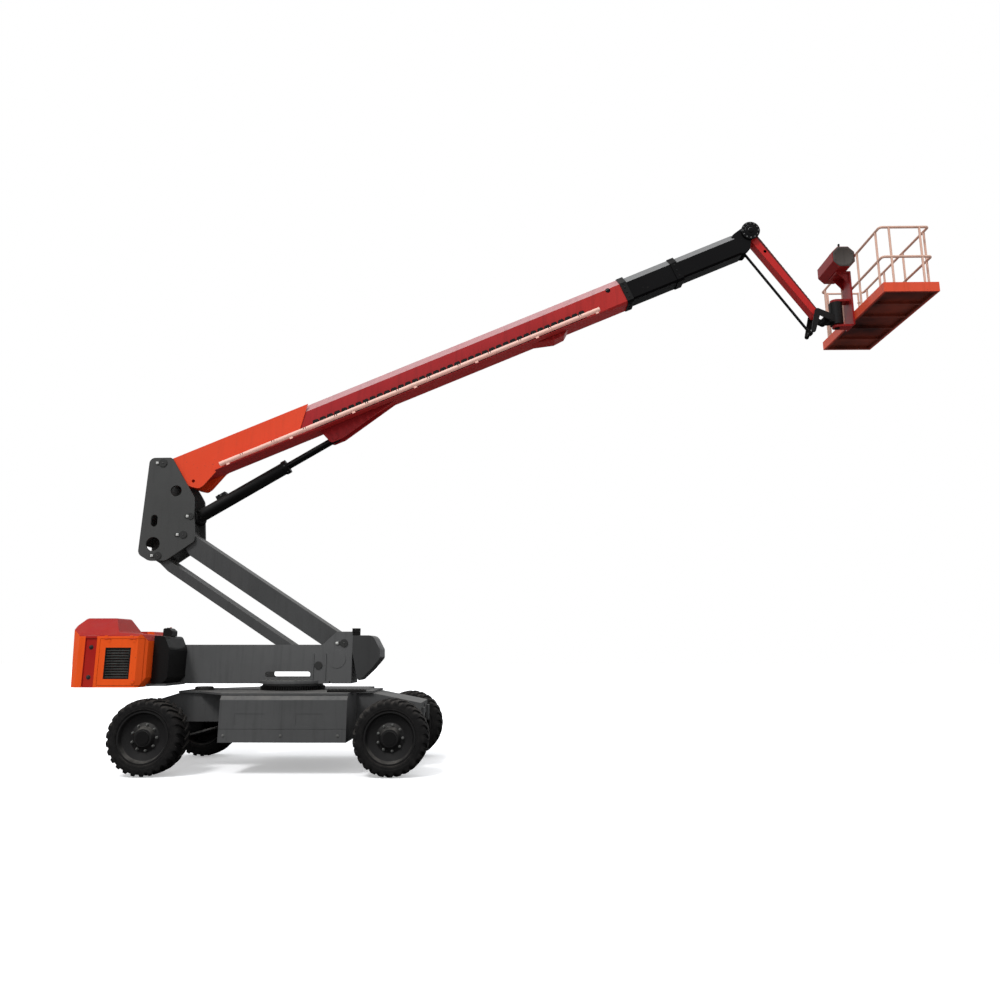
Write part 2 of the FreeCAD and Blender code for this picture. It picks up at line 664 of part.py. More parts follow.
def hood_outline(inset, drop):
    i = inset
    top, low, bottom = TAIL_TOP - drop - i, HOOD_LOW_TOP - drop - i, TAIL_BOTTOM + i
    return [(HOOD_X0, bottom), (HOOD_X0, top), (HOOD_X0 + 60, top, 60), (HOOD_X0 + 250, low, 90),
            (HOOD_X1 - 70, low - 20, 60), (HOOD_X1 - i, low - 110), (HOOD_X1 - i, TAIL_BOTTOM + 130),
            (HOOD_X1 - 70 - i, bottom)]


DOOR_X0, DOOR_X1 = -2436.0, -1830.0
DOOR_Z0, DOOR_Z1 = 1200.0, 1845.0
GRILLE_X0, GRILLE_X1 = -2350.0, -1990.0
GRILLE_Z0, GRILLE_Z1 = 1290.0, 1720.0
GRILLE_EDGE = 16.0
GRILLE_BLADES = 11
HINGE_R = 7.0
HINGE_Y = -TAIL_HALF - HINGE_R


def hood_skin(drop):
    """Left hood: a folded skin, open below and behind, with its corner cut back."""
    w, y, x = HOOD_WALL, -TAIL_HALF - 5, HOOD_X1 + 5
    wedge = prism([(x, y), (x - 110, y), (x, y + 110)], 1100, 2200, "XY")
    inner_wedge = prism([(x, y), (x - 110 - 1.5 * w, y), (x, y + 110 + 1.5 * w)], 1100, 2200, "XY")
    outer = tail_block(HOOD_X0, HOOD_X1, 0, hood_outline(0, drop), drop).cut(wedge)
    inner = tail_block(HOOD_X0 - 1, HOOD_X1 - w, w, hood_outline(w, drop), drop).cut(inner_wedge)
    back = HOOD_X0 - 1
    open_floor = box(back, HOOD_X1 - 80, y + 37, -TAIL_SLOT_HALF - w, TAIL_BOTTOM - 1, TAIL_BOTTOM + w + 1)
    wing_top = WING_Z0 + WING_T + SEAT_GAP
    wing_slot = box(back, HOOD_X1 + 1, -TANK_HALF - 11, -TAIL_SLOT_HALF + 1, WING_Z0 - 5, wing_top)
    return outer.cut(inner).cut(open_floor).cut(wing_slot)


def door_block(gap, drop):
    y0, y1 = -TAIL_HALF - 10, -TAIL_HALF + 100
    return box(DOOR_X0 + gap, DOOR_X1 - gap, y0, y1, DOOR_Z0 + gap, DOOR_Z1 - drop - gap)


def grille_block(gap, drop):
    y0, y1 = -TAIL_HALF - 10, -TAIL_HALF + 60
    return box(GRILLE_X0 + gap, GRILLE_X1 - gap, y0, y1, GRILLE_Z0 + gap, GRILLE_Z1 - drop - gap)


def hinge_half(x0, x1, z, up):
    """Leaf and knuckle of a door hinge; the hood's half reaches up, the door's down."""
    knuckle = Part.makeCylinder(HINGE_R, x1 - x0, V(x0, HINGE_Y, z), V(1, 0, 0))
    z0, z1 = (z, z + 42) if up else (z - 48, z)
    return knuckle.fuse(box(x0, x1, -TAIL_HALF - 4, -TAIL_HALF, z0, z1))


def hinge_parts(up, drop):
    halves = []
    for x in (DOOR_X0 + 60, DOOR_X1 - 190):
        x0, x1 = (x, x + 45) if up else (x + 45 + SEAT_GAP, x + 90)
        halves.append(hinge_half(x0, x1, DOOR_Z1 - drop, up))
    return halves


def hood(drop):
    skin = hood_skin(drop).cut(door_block(0, drop))
    return fuse(skin, *hinge_parts(True, drop))


def hood_door(drop):
    skin = hood_skin(drop).common(door_block(DOOR_GAP, drop)).cut(grille_block(0, drop))
    return fuse(skin, *hinge_parts(False, drop))


def door_grille(drop):
    """Frame with slanted louvre blades, filling the opening in the door."""
    y0, y1 = -TAIL_HALF + 2, -TAIL_HALF + 26
    edge = GRILLE_EDGE
    frame = grille_block(SEAT_GAP, drop).common(box(GRILLE_X0, GRILLE_X1, y0, y1, GRILLE_Z0, GRILLE_Z1))
    frame = frame.cut(grille_block(edge, drop))
    step = (GRILLE_Z1 - drop - GRILLE_Z0 - 2 * edge) / GRILLE_BLADES
    blades = []
    for i in range(GRILLE_BLADES):
        z = GRILLE_Z0 + edge + i * step
        blade = [(y0, z + 2), (y0, z + 6), (y1, z + step - 2), (y1, z + step - 6)]
        blades.append(prism(blade, GRILLE_X0 + edge - 2, GRILLE_X1 - edge + 2, "YZ"))
    return fuse(frame, *blades)


def tank(drop):
    """Left tank in front of the hood, rounded at the top and cut back below."""
    bottom, x = WING_Z0 + WING_T, HOOD_X1 + 5
    shape = [(x, bottom), (-1650, bottom), (TANK_X1 - 6, 1290, 40), (TANK_X1, 1700 - drop, 120),
             (-1650, 1885 - drop, 60), (x, 1890 - drop)]
    return prism(shape, -TANK_HALF, -GIRDER_OUT - 3)


def engine_block():
    y0, y1 = TAIL_SLOT_HALF + 60, TAIL_HALF - 140
    return box(HOOD_X0 + 60, HOOD_X1 - 90, y0, y1, WING_Z0 + WING_T, ENGINE_TOP)


def ground_control_box():
    return prism([(-1785, 1890.3), (-1650, 1886), (-1650, 1960, 25), (-1700, 2000, 20), (-1785, 2000, 20)],
                 -620, -440)


# ---------------------------------------------------------------------------
# riser and upright
# ---------------------------------------------------------------------------

def riser_link(start, top, low, eye_r):
    """Welded box link, hung below the line of its pins, with a pin tube across each end."""
    w, length = LINK_WALL, RISER_LENGTH
    end = polar(start, length, RISER_ANGLE)
    solid_end = LINK_TAPER / 2

    def place(points):
        return [polar(polar(start, s, RISER_ANGLE), t, RISER_ANGLE - 90) for s, t in points]

    outline = [(0, top), (length, top), (length, -eye_r), (length - LINK_TAPER, low), (LINK_TAPER, low),
               (0, -eye_r)]
    middle = (low - eye_r) / 2 + 1.3 * w
    inside = [(solid_end, top - w), (length - solid_end, top - w), (length - solid_end, middle),
              (length - LINK_TAPER, low + w), (LINK_TAPER, low + w), (solid_end, middle)]
    body = prism(place(outline), -LINK_HALF, LINK_HALF)
    hollow = prism(place(inside), -LINK_HALF + w, LINK_HALF - w)
    eyes = [rod_y(x, z, eye_r, -LINK_HALF, LINK_HALF) for x, z in (start, end)]
    bores = [rod_y(x, z, RISER_PIN_R + PIN_CLEAR, -LINK_HALF - 1, LINK_HALF + 1) for x, z in (start, end)]
    return cut(fuse(body, *eyes), hollow, *bores)


UPRIGHT = [(-629, 1232, 90), (-278, 1235, 60), (118, 600, 120), (180, -100, 60), (-252, -404, 100),
           (-520, -405, 120),
           (-690, -300, 110)]
CHEEK_HOLES = [(-171, 696, 88), (-468, -145, 109)]
CHEEK_SLOT = (-477, 222)
CHEEK_SLOT_HALF = (52, 93.5)


def upright_cheek():
    """Left cheek plate around the outline, bored for the four pins."""
    shape = [(PIN_B[0] + x, PIN_B[1] + z, r) for x, z, r in UPRIGHT]
    y0, y1 = -GIRDER_OUT, -GIRDER_IN
    plate = prism(shape, y0, y1)
    radii = (RISER_PIN_R, RISER_PIN_R, BOOM_PIN_R, LIFT_PIN_R)
    pins = (PIN_B, PIN_D, PIN_E, PIN_F)
    return cut(plate, *[rod_y(x, z, r + PIN_CLEAR, y0 - 1, y1 + 1) for (x, z), r in zip(pins, radii)])


def access_holes():
    """Hand holes and the slot through the left cheek, between the pins."""
    y0, y1 = -GIRDER_OUT - 1, -GIRDER_IN + 1
    holes = [rod_y(PIN_B[0] + x, PIN_B[1] + z, r, y0, y1) for x, z, r in CHEEK_HOLES]
    x, z = add(PIN_B, CHEEK_SLOT)
    a, b = CHEEK_SLOT_HALF
    corners = [(x - a, z - b), (x + a, z - b), (x + a, z + b), (x - a, z + b)]
    return holes + [prism([(u, v, a - 0.5) for u, v in corners], y0, y1)]


def upright():
    """Two cheeks joined by a back plate just inside their rear edge."""
    cheek = upright_cheek()
    x, z = PIN_B
    t = BACK_PLATE_T
    back = prism([(x - 680, z - 150), (x - 680 + t, z - 150), (x - 630 + t, z + 1120), (x - 630, z + 1120)],
                 -GIRDER_IN, GIRDER_IN)
    return fuse(cut(cheek, *access_holes()), mirror_y(cheek), back)


def upright_pins():
    y = GIRDER_OUT + 0.3
    return Part.makeCompound([
        pinned(PIN_B, RISER_PIN_R, y, (-130, 0)), pinned(PIN_D, RISER_PIN_R, y, (-110, 0)),
        pinned(PIN_E, BOOM_PIN_R, y, (-110, 0)), pinned(PIN_F, LIFT_PIN_R, y, (-90, 0)),
    ])


# ---------------------------------------------------------------------------
# boom, drawn in boom coordinates
# ---------------------------------------------------------------------------

def base_boom():
    """Outer boom section with the rest pad it lies on when it is lowered."""
    barrel = section_tube(BASE_SECTION, BASE_WALL, BASE_U0, BASE_U1)
    rest = prism([(6188, BASE_LOW), (6538, BASE_LOW - 95, 30), (6728, BASE_LOW - 80, 30), (6828, BASE_LOW)],
                 -130, 130)
    hole = rod_y(7685, BOOM_TOP - 134, 42, -BASE_W, BASE_W)
    return barrel.fuse(rest).cut(hole).removeSplitter()


def boom_root():
    """Side plates that carry the boom pivot, with the pin tube between them."""
    top, low = BOOM_TOP - 2, BASE_LOW
    edge = low + BOOM_CHAMFER
    shape = [(-120, top, 90), (ROOT_TOP_U, top), (ROOT_LOW_U, edge), (858, edge), (745, low + 4, 60),
             (456, low - 148, 60),
             (373, low - 166, 60), (277, low - 99, 60), (-120, -110, 100)]
    half = BASE_W / 2
    left = prism(shape, -half - ROOT_PLATE_T, -half)
    pin_tube = rod_y(0, 0, BOOM_PIN_R + 24, -half, half)
    under = low - SEAT_GAP
    lobe = prism([(230, under), (700, under), (450, low - 120, 50), (330, low - 130, 50)], -half,
                 -ROOT_GAP_HALF)
    bore = rod_y(0, 0, BOOM_PIN_R + PIN_CLEAR, -half - 50, half + 50)
    hole = rod_y(331, low - 18, 26, -half - 50, half + 50)
    web = box(-60, BASE_U0 - SEAT_GAP, -half, half, BOOM_TOP - 30, BOOM_TOP - 18)
    return cut(fuse(left, mirror_y(left), pin_tube, lobe, mirror_y(lobe), web), bore, hole)


def cylinder_bracket():
    """Two ears under the boom that hold the lift cylinder's rod eye, and their pin."""
    low = BASE_LOW
    g = ROD_EYE
    shape = [(g[0] - 190, low), (g[0] - 100, g[1] - 62, 60), (g[0] + 110, g[1] - 62, 60), (g[0] + 1150, low)]
    ear = prism(shape, -EAR_GAP_HALF - EAR_T, -EAR_GAP_HALF)
    ear = ear.fuse(rod_y(g[0], g[1], CYL_PIN_R + 15, -EAR_GAP_HALF - EAR_T - 14, -EAR_GAP_HALF))
    floor = prism([(g[0] + 330, low - 122), (g[0] + 330, low - 110), (g[0] + 1100, low),
                   (g[0] + 1150, low)], -EAR_GAP_HALF, EAR_GAP_HALF)
    return fuse(ear, mirror_y(ear), floor)


def collar(outer_sizes, inner_sizes, u0):
    """Wear ring on the mouth of one section, a sliding fit on the next one."""
    outer = section(*outer_sizes, COLLAR_PROUD)
    return section_ring(outer, section(*inner_sizes, PAD_CLEAR), u0, u0 + COLLAR_L)


def slide_pads(outer_sizes, wall, inner_sizes, u0):
    """Pads round the inner end of a section, which slide inside the one before."""
    outer = section(*outer_sizes, -wall - PAD_CLEAR)
    return section_ring(outer, section(*inner_sizes), u0, u0 + PAD_L)


def mid_boom():
    barrel = section_tube(MID_SECTION, MID_WALL, MID_U0, MID_U1)
    front = collar(MID_SECTION, FLY_SECTION, MID_U1)
    pads = slide_pads(BASE_SECTION, BASE_WALL, MID_SECTION, MID_U0 + 20)
    return fuse(barrel, front, pads)


def fly_boom():
    barrel = section_tube(FLY_SECTION, FLY_WALL, FLY_U0, FLY_U1)
    return fuse(barrel, slide_pads(MID_SECTION, MID_WALL, FLY_SECTION, FLY_U0 + 20))


def fly_nose():
    """Head of the fly: a plate that closes the tube and cheeks on both sides of the jib root."""
    h = JIB_PIVOT
    top, low = FLY_TOP, FLY_TOP - FLY_H
    tie = boom_local(PIN_L)
    cheek = prism([(FLY_U1, top - 30), (FLY_U1 + 60, top - 4, 40), (h[0] - 90, h[1] + NOSE_R - 30, 60),
                   (h[0] + 60, h[1] + 20),
                   (tie[0] + 66, tie[1] - 20, 40), (tie[0] - 10, tie[1] - 62, 40), (FLY_U1, low + 30)],
                  -NOSE_IN - NOSE_T, -NOSE_IN)
    head = rod_y(h[0], h[1], NOSE_R, -NOSE_IN - NOSE_T, -NOSE_IN)
    cheek = cheek.fuse(head)
    web = section_prism(section(*FLY_SECTION), FLY_U1, FLY_U1 + 20)
    tie_pin = rod_y(tie[0], tie[1], TIE_PIN_R, -NOSE_IN - 5, NOSE_IN + 5)
    bore = rod_y(h[0], h[1], JIB_PIN_R + PIN_CLEAR, -NOSE_IN - 60, NOSE_IN + 60)
    return cut(fuse(cheek, mirror_y(cheek), web, tie_pin), bore)


def boom_local(point):
    """Boom coordinates of a point of the machine."""
    angle = math.radians(BOOM_ANGLE)
    x, z = point[0] - PIN_E[0], point[1] - PIN_E[1]
    return (x * math.cos(angle) + z * math.sin(angle), -x * math.sin(angle) + z * math.cos(angle))


TUBE_Y, TUBE_W, TUBE_R = 300.0, -400.0, 37.5
TRAY_LOW = -475.0
TRAY_T = 6.0
TRAY_U0, TRAY_U1 = 738.0, 7500.0


def hose_tray():
    """Angle along the left side that carries the hose chain."""
    low, side = TRAY_LOW, BASE_W / 2
    floor = box(TRAY_U0, TRAY_U1, -TUBE_Y - TUBE_R - 6, -side - ROOT_PLATE_T - SEAT_GAP, low, low + TRAY_T)
    brackets = [box(u, u + 60, -side - 20, -side, low, -250) for u in range(2540, 7500, 850)]
    return fuse(floor, *brackets)


def hose_chain():
    side = BASE_W / 2
    return box(2388, 7188, -side - 80, -side - 24, TRAY_LOW + TRAY_T, -287)


def hose_tube():
    """Fixed supply pipe in the tray, on saddles."""
    pipe = rod(V(838, -TUBE_Y, TUBE_W), V(7384, -TUBE_Y, TUBE_W), TUBE_R)
    starts = range(938, 7380, 1060)
    saddles = [box(u, u + 50, -TUBE_Y - 22, -TUBE_Y + 22, TRAY_LOW + TRAY_T, TUBE_W) for u in starts]
    return fuse(pipe, *saddles)


# ---------------------------------------------------------------------------
# boom lift cylinder, drawn from the pivot in the upright towards the rod eye
# ---------------------------------------------------------------------------

CYL_LENGTH = math.hypot(PIN_G[0] - PIN_F[0], PIN_G[1] - PIN_F[1])
CYL_ANGLE = math.degrees(math.atan2(PIN_G[1] - PIN_F[1], PIN_G[0] - PIN_F[0]))


def cylinder_place(shape):
    shape = shape.copy()
    shape.rotate(V(0, 0, 0), V(0, 1, 0), -CYL_ANGLE)
    shape.translate(V(PIN_F[0], 0, PIN_F[1]))
    return shape


def lift_barrel():
    """Cylinder tube with its foot eye, gland and holding valve."""
    shell = tube(V(90, 0, 0), V(BARREL_L, 0, 0), BARREL_R, BARREL_BORE_R)
    cap = rod(V(60, 0, 0), V(130, 0, 0), BARREL_R)
    eye = rod_y(0, 0, BARREL_EYE_R, -BARREL_EYE_HALF, BARREL_EYE_HALF)
    neck = box(0, 100, -90, 90, -70, 70)
    gland = tube(V(BARREL_L - 20, 0, 0), V(BARREL_L + 60, 0, 0), BARREL_R + 14, ROD_R + PIN_CLEAR)
    valve = box(430, 600, -60, 60, BARREL_R - 20, BARREL_R + 45)
    valve = valve.cut(rod(V(400, 0, 0), V(720, 0, 0), BARREL_R - 5))
    bore = rod_y(0, 0, LIFT_PIN_R + PIN_CLEAR, -BARREL_EYE_HALF - 1, BARREL_EYE_HALF + 1)
    return cut(fuse(shell, cap, eye, neck, gland, valve), bore)


def lift_rod():
    start = BARREL_L - ROD_INNER
    shaft = rod(V(start, 0, 0), V(CYL_LENGTH - 30, 0, 0), ROD_R)
    piston = rod(V(start, 0, 0), V(start + 90, 0, 0), BARREL_BORE_R - 0.3)
    eye = rod_y(CYL_LENGTH, 0, CYL_EYE_R, -EAR_GAP_HALF + 6, EAR_GAP_HALF - 6)
    return fuse(shaft, piston, eye)


# ---------------------------------------------------------------------------
# jib and platform
# ---------------------------------------------------------------------------

def jib_arm():
    """Tapered box arm with a round root hub and a pin tube at its end."""
    root, end = PIN_H, PIN_J
    arm = capsule_plate(root, end, JIB_ROOT_DEPTH / 2, JIB_END_DEPTH / 2, -JIB_HALF, JIB_HALF)
    w = JIB_WALL
    start, finish = along(root, end, 170), along(end, root, 120)
    hollow = capsule_plate(start, finish, JIB_ROOT_DEPTH / 2 - w - 4, JIB_END_DEPTH / 2 - w, -JIB_HALF + w,
                           JIB_HALF - w)
    hole = along(root, end, 420)
    vent = rod_y(hole[0], hole[1], 26, -JIB_HALF - 1, JIB_HALF + 1)
    bores = [rod_y(p[0], p[1], JIB_PIN_R + PIN_CLEAR, -200, 200) for p in (root, end)]
    return cut(arm, hollow, vent, *bores)


def along(start, end, distance):
    length = math.hypot(end[0] - start[0], end[1] - start[1])
    share = distance / length
    return (start[0] + (end[0] - start[0]) * share, start[1] + (end[1] - start[1]) * share)


def jib_pin():
    y = NOSE_IN + NOSE_T + 10
    shaft = rod_y(PIN_H[0], PIN_H[1], JIB_PIN_R, -y, y)
    heads = [rod_y(PIN_H[0], PIN_H[1], ACTUATOR_R, NOSE_IN + NOSE_T + SEAT_GAP, NOSE_IN + NOSE_T + 26)]
    heads.append(mirror_y(heads[0]))
    return fuse(shaft, *heads)


def jib_tie():
    """Round tie below the jib that holds the platform head level with the boom nose."""
    bar = rod(V(PIN_L[0], 0, PIN_L[1]), V(PIN_K[0], 0, PIN_K[1]), TIE_R)
    eyes = [rod_y(p[0], p[1], TIE_EYE_R, -TIE_HALF, TIE_HALF) for p in (PIN_L, PIN_K)]
    bores = [rod_y(p[0], p[1], TIE_PIN_R + PIN_CLEAR, -200, 200) for p in (PIN_L, PIN_K)]
    return cut(fuse(bar, *eyes), *bores)


def platform_head():
    """Cheeks that join jib, tie and rotator, with the three pins across them."""
    y0, y1 = -HEAD_IN - HEAD_T, -HEAD_IN
    lower = capsule_plate(PIN_K, PIN_J, HEAD_K_R, HEAD_J_R, y0, y1)
    upper = capsule_plate(PIN_J, PIN_P, HEAD_J_R, HEAD_P_R, y0, y1)
    cheek = fuse(lower, upper)
    pins = [rod_y(p[0], p[1], JIB_PIN_R, -HEAD_IN - 8, HEAD_IN + 8) for p in (PIN_J, PIN_P)]
    pins.append(rod_y(PIN_K[0], PIN_K[1], TIE_PIN_R, -HEAD_IN - 8, HEAD_IN + 8))
    return fuse(cheek, mirror_y(cheek), *pins)


def rotator():
    """Levelled housing of the platform rotator, hung on the head's upper pin."""
    housing = rod_z(ROTATOR_X, 0, ROTATOR_R, ROTATOR_Z0, ROTATOR_Z1)
    lug = capsule_plate(PIN_P, (ROTATOR_X, PIN_P[1]), 64, 64.01, -JIB_HALF, JIB_HALF)
    shaft = rod_z(ROTATOR_X, 0, 40, ROTATOR_Z0 - 60, ROTATOR_Z1 + 60)
    bore = rod_y(PIN_P[0], PIN_P[1], JIB_PIN_R + PIN_CLEAR, -200, 200)
    return fuse(housing, lug, shaft).cut(bore)


def platform_mount():
    """Bracket that turns on the rotator shaft, carries the platform's side and the console."""
    arms = []
    half = MOUNT_ARM_HALF
    for z in (ROTATOR_Z0 - 50, ROTATOR_Z1 + 10):
        arm = box(ROTATOR_X, PLATFORM_X0 - 12, -half, half, z,
                  z + 40).fuse(rod_z(ROTATOR_X, 0, half, z, z + 40))
        arms.append(arm.cut(rod_z(ROTATOR_X, 0, 40 + PIN_CLEAR, z - 1, z + 41)))
    plate = box(PLATFORM_X0 - 30, PLATFORM_X0 - SEAT_GAP, -150, 150, ROTATOR_Z0 - 50, CONSOLE_Z0 - SEAT_GAP)
    shelf = box(CONSOLE_X0 + 110, PLATFORM_X0 - 12, -150, 150, CONSOLE_Z0 - 30, CONSOLE_Z0 - SEAT_GAP)
    gusset = [(PLATFORM_X0 - 20, CONSOLE_Z0 - 20), (CONSOLE_X0 + 140, CONSOLE_Z0 - 20),
              (PLATFORM_X0 - 20, CONSOLE_Z0 - 230)]
    ribs = [prism(gusset, y - 6, y + 6) for y in (-120.0, 120.0)]
    return fuse(plate, shelf, *arms, *ribs)


PLATFORM_X1 = PLATFORM_X0 + PLATFORM_W
PLATFORM_HALF = PLATFORM_L / 2
FLOOR_Z = PLATFORM_Z + FLOOR_UP
FLOOR_TOP = FLOOR_Z + FLOOR_PANEL_T


def platform_floor():
    """Tray: kick plates all round, a floor sheet and the beams below it."""
    outer = box(PLATFORM_X0, PLATFORM_X1, -PLATFORM_HALF, PLATFORM_HALF, PLATFORM_Z, PLATFORM_Z + KICK_H)
    t = KICK_T
    well = box(PLATFORM_X0 + t, PLATFORM_X1 - t, -PLATFORM_HALF + t, PLATFORM_HALF - t, FLOOR_Z,
               PLATFORM_Z + KICK_H + 1)
    below = box(PLATFORM_X0 + 60, PLATFORM_X1 - 60, -PLATFORM_HALF + 60, PLATFORM_HALF - 60, PLATFORM_Z - 1,
                PLATFORM_Z + 40)
    tray = cut(outer, well, below)
    beams = []
    for i in range(1, 5):
        y = -PLATFORM_HALF + i * PLATFORM_L / 5
        beams.append(box(PLATFORM_X0 + 60, PLATFORM_X1 - 60, y - 25, y + 25, PLATFORM_Z + 2, PLATFORM_Z + 41))
    inset = FLOOR_PANEL_INSET
    panel = box(PLATFORM_X0 + inset, PLATFORM_X1 - inset, -PLATFORM_HALF + inset, PLATFORM_HALF - inset,
                FLOOR_Z, FLOOR_TOP)
    return fuse(tray, panel, *beams)


def rail_path(points, bend):
    """Round tube along a polyline with bent corners; points are 3-D."""
    edges = []
    last = points[0]
    for i in range(1, len(points) - 1):
        here, nxt = points[i], points[i + 1]
        before = (points[i - 1] - here).normalize()
        after = (nxt - here).normalize()
        half = before.getAngle(after) / 2
        reach = bend / math.tan(half)
        start, end = here + before * reach, here + after * reach
        middle = here + (before + after).normalize() * (bend / math.sin(half) - bend)
        edges.append(Part.LineSegment(last, start).toShape())
        edges.append(Part.Arc(start, middle, end).toShape())
        last = end
    edges.append(Part.LineSegment(last, points[-1]).toShape())
    path = Part.Wire(edges)
    profile = Part.Wire(Part.makeCircle(RAIL_R, points[0], points[1] - points[0]))
    return path.makePipeShell([profile], True, True)


RAIL_X0, RAIL_X1 = PLATFORM_X0 + RAIL_INSET, PLATFORM_X1 - RAIL_INSET
RAIL_Y = PLATFORM_HALF - RAIL_INSET
GATE_X0 = (RAIL_X0 + RAIL_X1 - GATE_W) / 2
GATE_X1 = GATE_X0 + GATE_W
GATE_POST_X = GATE_X1 - RAIL_R - GATE_R - GATE_CLEAR
RAIL_TOP_Z = PLATFORM_Z + RAIL_H - RAIL_R
RAIL_MID_Z = PLATFORM_Z + RAIL_MID_H
RAIL_FOOT_Z = FLOOR_Z


def platform_rails():
    """Guard rail: top and middle hoops open at the gate, on posts that stand on the floor."""
    hoops = []
    for z in (RAIL_TOP_Z, RAIL_MID_Z):
        points = [V(GATE_X0, RAIL_Y, z), V(RAIL_X0, RAIL_Y, z), V(RAIL_X0, -RAIL_Y, z),
                  V(RAIL_X1, -RAIL_Y, z),
                  V(RAIL_X1, RAIL_Y, z), V(GATE_X1, RAIL_Y, z)]
        bend = min(RAIL_BEND, GATE_X0 - RAIL_X0 - 5)
        hoops.append(rail_path(points, bend))
    posts = []
    spots = [(GATE_X0, RAIL_Y), (GATE_X1, RAIL_Y)]
    inner = RAIL_Y - RAIL_BEND - 10
    for x in (RAIL_X0, RAIL_X1):
        spots += [(x, y) for y in (-inner, -inner / 3, inner / 3, inner)]
    for x in (RAIL_X0 + RAIL_BEND + 10, RAIL_X1 - RAIL_BEND - 10):
        spots.append((x, -RAIL_Y))
    for x, y in spots:
        posts.append(rod_z(x, y, RAIL_R - 3, RAIL_FOOT_Z, RAIL_TOP_Z))
    lugs = []
    for z in (RAIL_FOOT_Z + 200, RAIL_TOP_Z - 200):
        lug = box(GATE_POST_X, GATE_X1, RAIL_Y - 12, RAIL_Y + 12, z,
                  z + 14).fuse(rod_z(GATE_POST_X, RAIL_Y, 26, z, z + 14))
        lugs.append(lug.cut(rod_z(GATE_POST_X, RAIL_Y, GATE_R + PIN_CLEAR, z - 1, z + 15)))
    return fuse(*hoops, *posts, *lugs)


def platform_gate():
    """Swing gate in the right-hand end, hinged on its outer post."""
    x0, x1 = GATE_X0 + RAIL_R + GATE_R + GATE_CLEAR, GATE_POST_X
    r = GATE_R
    z0, z1 = RAIL_FOOT_Z + 110, RAIL_TOP_Z
    pieces = [rod(V(x, RAIL_Y, z0), V(x, RAIL_Y, z1), r) for x in (x0, x1)]
    pieces += [rod(V(x0, RAIL_Y, z), V(x1, RAIL_Y, z), r) for z in (z0 + r, RAIL_MID_Z, z1 - r)]
    return fuse(*pieces)


def control_console():
    """Eight-sided control box across the platform's boom side, on two brackets."""
    c = 95.0
    ring = [(CONSOLE_X0 + c, CONSOLE_Z0), (CONSOLE_X1 - c, CONSOLE_Z0), (CONSOLE_X1, CONSOLE_Z0 + c),
            (CONSOLE_X1, CONSOLE_Z1 - c),
            (CONSOLE_X1 - c, CONSOLE_Z1), (CONSOLE_X0 + c, CONSOLE_Z1), (CONSOLE_X0,
                                                                         CONSOLE_Z1 - c), (CONSOLE_X0,
                                                                                           CONSOLE_Z0 + c)]
    return prism(ring, CONSOLE_Y0, CONSOLE_Y1)


def build():
    """Every node of the machine, by name, in slew-axis coordinates."""
    nodes = {
        "chassis_frame": chassis_frame(),
        "deck_plate": deck_plate(),
        "side_boxes": both_sides(side_box()),
        "tie_down_lugs": tie_down_lugs(),
        "steer_axle": steer_axle(),
        "drive_axle": drive_axle(),
        "slew_ring": slew_ring(),
        "left_steer_knuckle": steer_knuckle(-1),
        "right_steer_knuckle": steer_knuckle(1),
        "tie_rod": tie_rod(),
        "turntable_frame": turntable_frame(),
        "turntable_nose": turntable_nose(),
        "riser_base_pins": riser_base_pins(),
        "counterweight": counterweight(),
        "left_hood": hood(0),
        "right_hood": mirror_y(hood(RIGHT_DROP)),
        "left_hood_door": hood_door(0),
        "right_hood_door": mirror_y(hood_door(RIGHT_DROP)),
        "left_door_grille": door_grille(0),
        "right_door_grille": mirror_y(door_grille(RIGHT_DROP)),
        "hydraulic_tank": tank(0),
        "fuel_tank": mirror_y(tank(RIGHT_DROP)),
        "engine_block": engine_block(),
        "ground_control_box": ground_control_box(),
        "upper_riser_link": riser_link(PIN_A, UPPER_TOP, UPPER_LOW, UPPER_EYE_R),
        "lower_riser_link": riser_link(PIN_C, LOWER_TOP, LOWER_LOW, LOWER_EYE_R),
        "upright": upright(),
        "upright_pins": upright_pins(),
        "base_boom": boom_place(base_boom()),
        "boom_root": boom_place(boom_root()),
        "cylinder_bracket": boom_place(cylinder_bracket()),
        "boom_tip_collar": boom_place(collar(BASE_SECTION, MID_SECTION, BASE_U1)),
        "mid_boom": boom_place(mid_boom()),
        "fly_boom": boom_place(fly_boom()),
        "fly_nose": boom_place(fly_nose()),
        "hose_tray": boom_place(hose_tray()),
        "hose_chain": boom_place(hose_chain()),
        "hose_tube": boom_place(hose_tube()),
        "lift_cylinder_barrel": cylinder_place(lift_barrel()),
        "lift_cylinder_rod": cylinder_place(lift_rod()),
        "jib_arm": jib_arm(),
        "jib_pin": jib_pin(),
        "jib_tie": jib_tie(),
        "platform_head": platform_head(),
        "platform_rotator": rotator(),
        "platform_mount": platform_mount(),
        "platform_floor": platform_floor(),
        "platform_rails": platform_rails(),
        "platform_gate": platform_gate(),
        "control_console": control_console(),
    }
    for end, x in (("steer", STEER_X), ("drive", DRIVE_X)):
        for name, side in (("left", -1), ("right", 1)):
            tyre, rim = wheel(x, side)
            nodes["%s_%s_tyre" % (name, end)] = tyre
            nodes["%s_%s_rim" % (name, end)] = rim
    return nodes


if __name__ == "__main__":
    os.makedirs("parts", exist_ok=True)
    for name, shape in build().items():
        shape.translate(V(-ORIGIN_X, 0, 0))
        shape.exportStep("parts/%s.step" % name)
        print("%-22s solids %d  volume %.4f m3" % (name, len(shape.Solids), shape.Volume / 1e9))
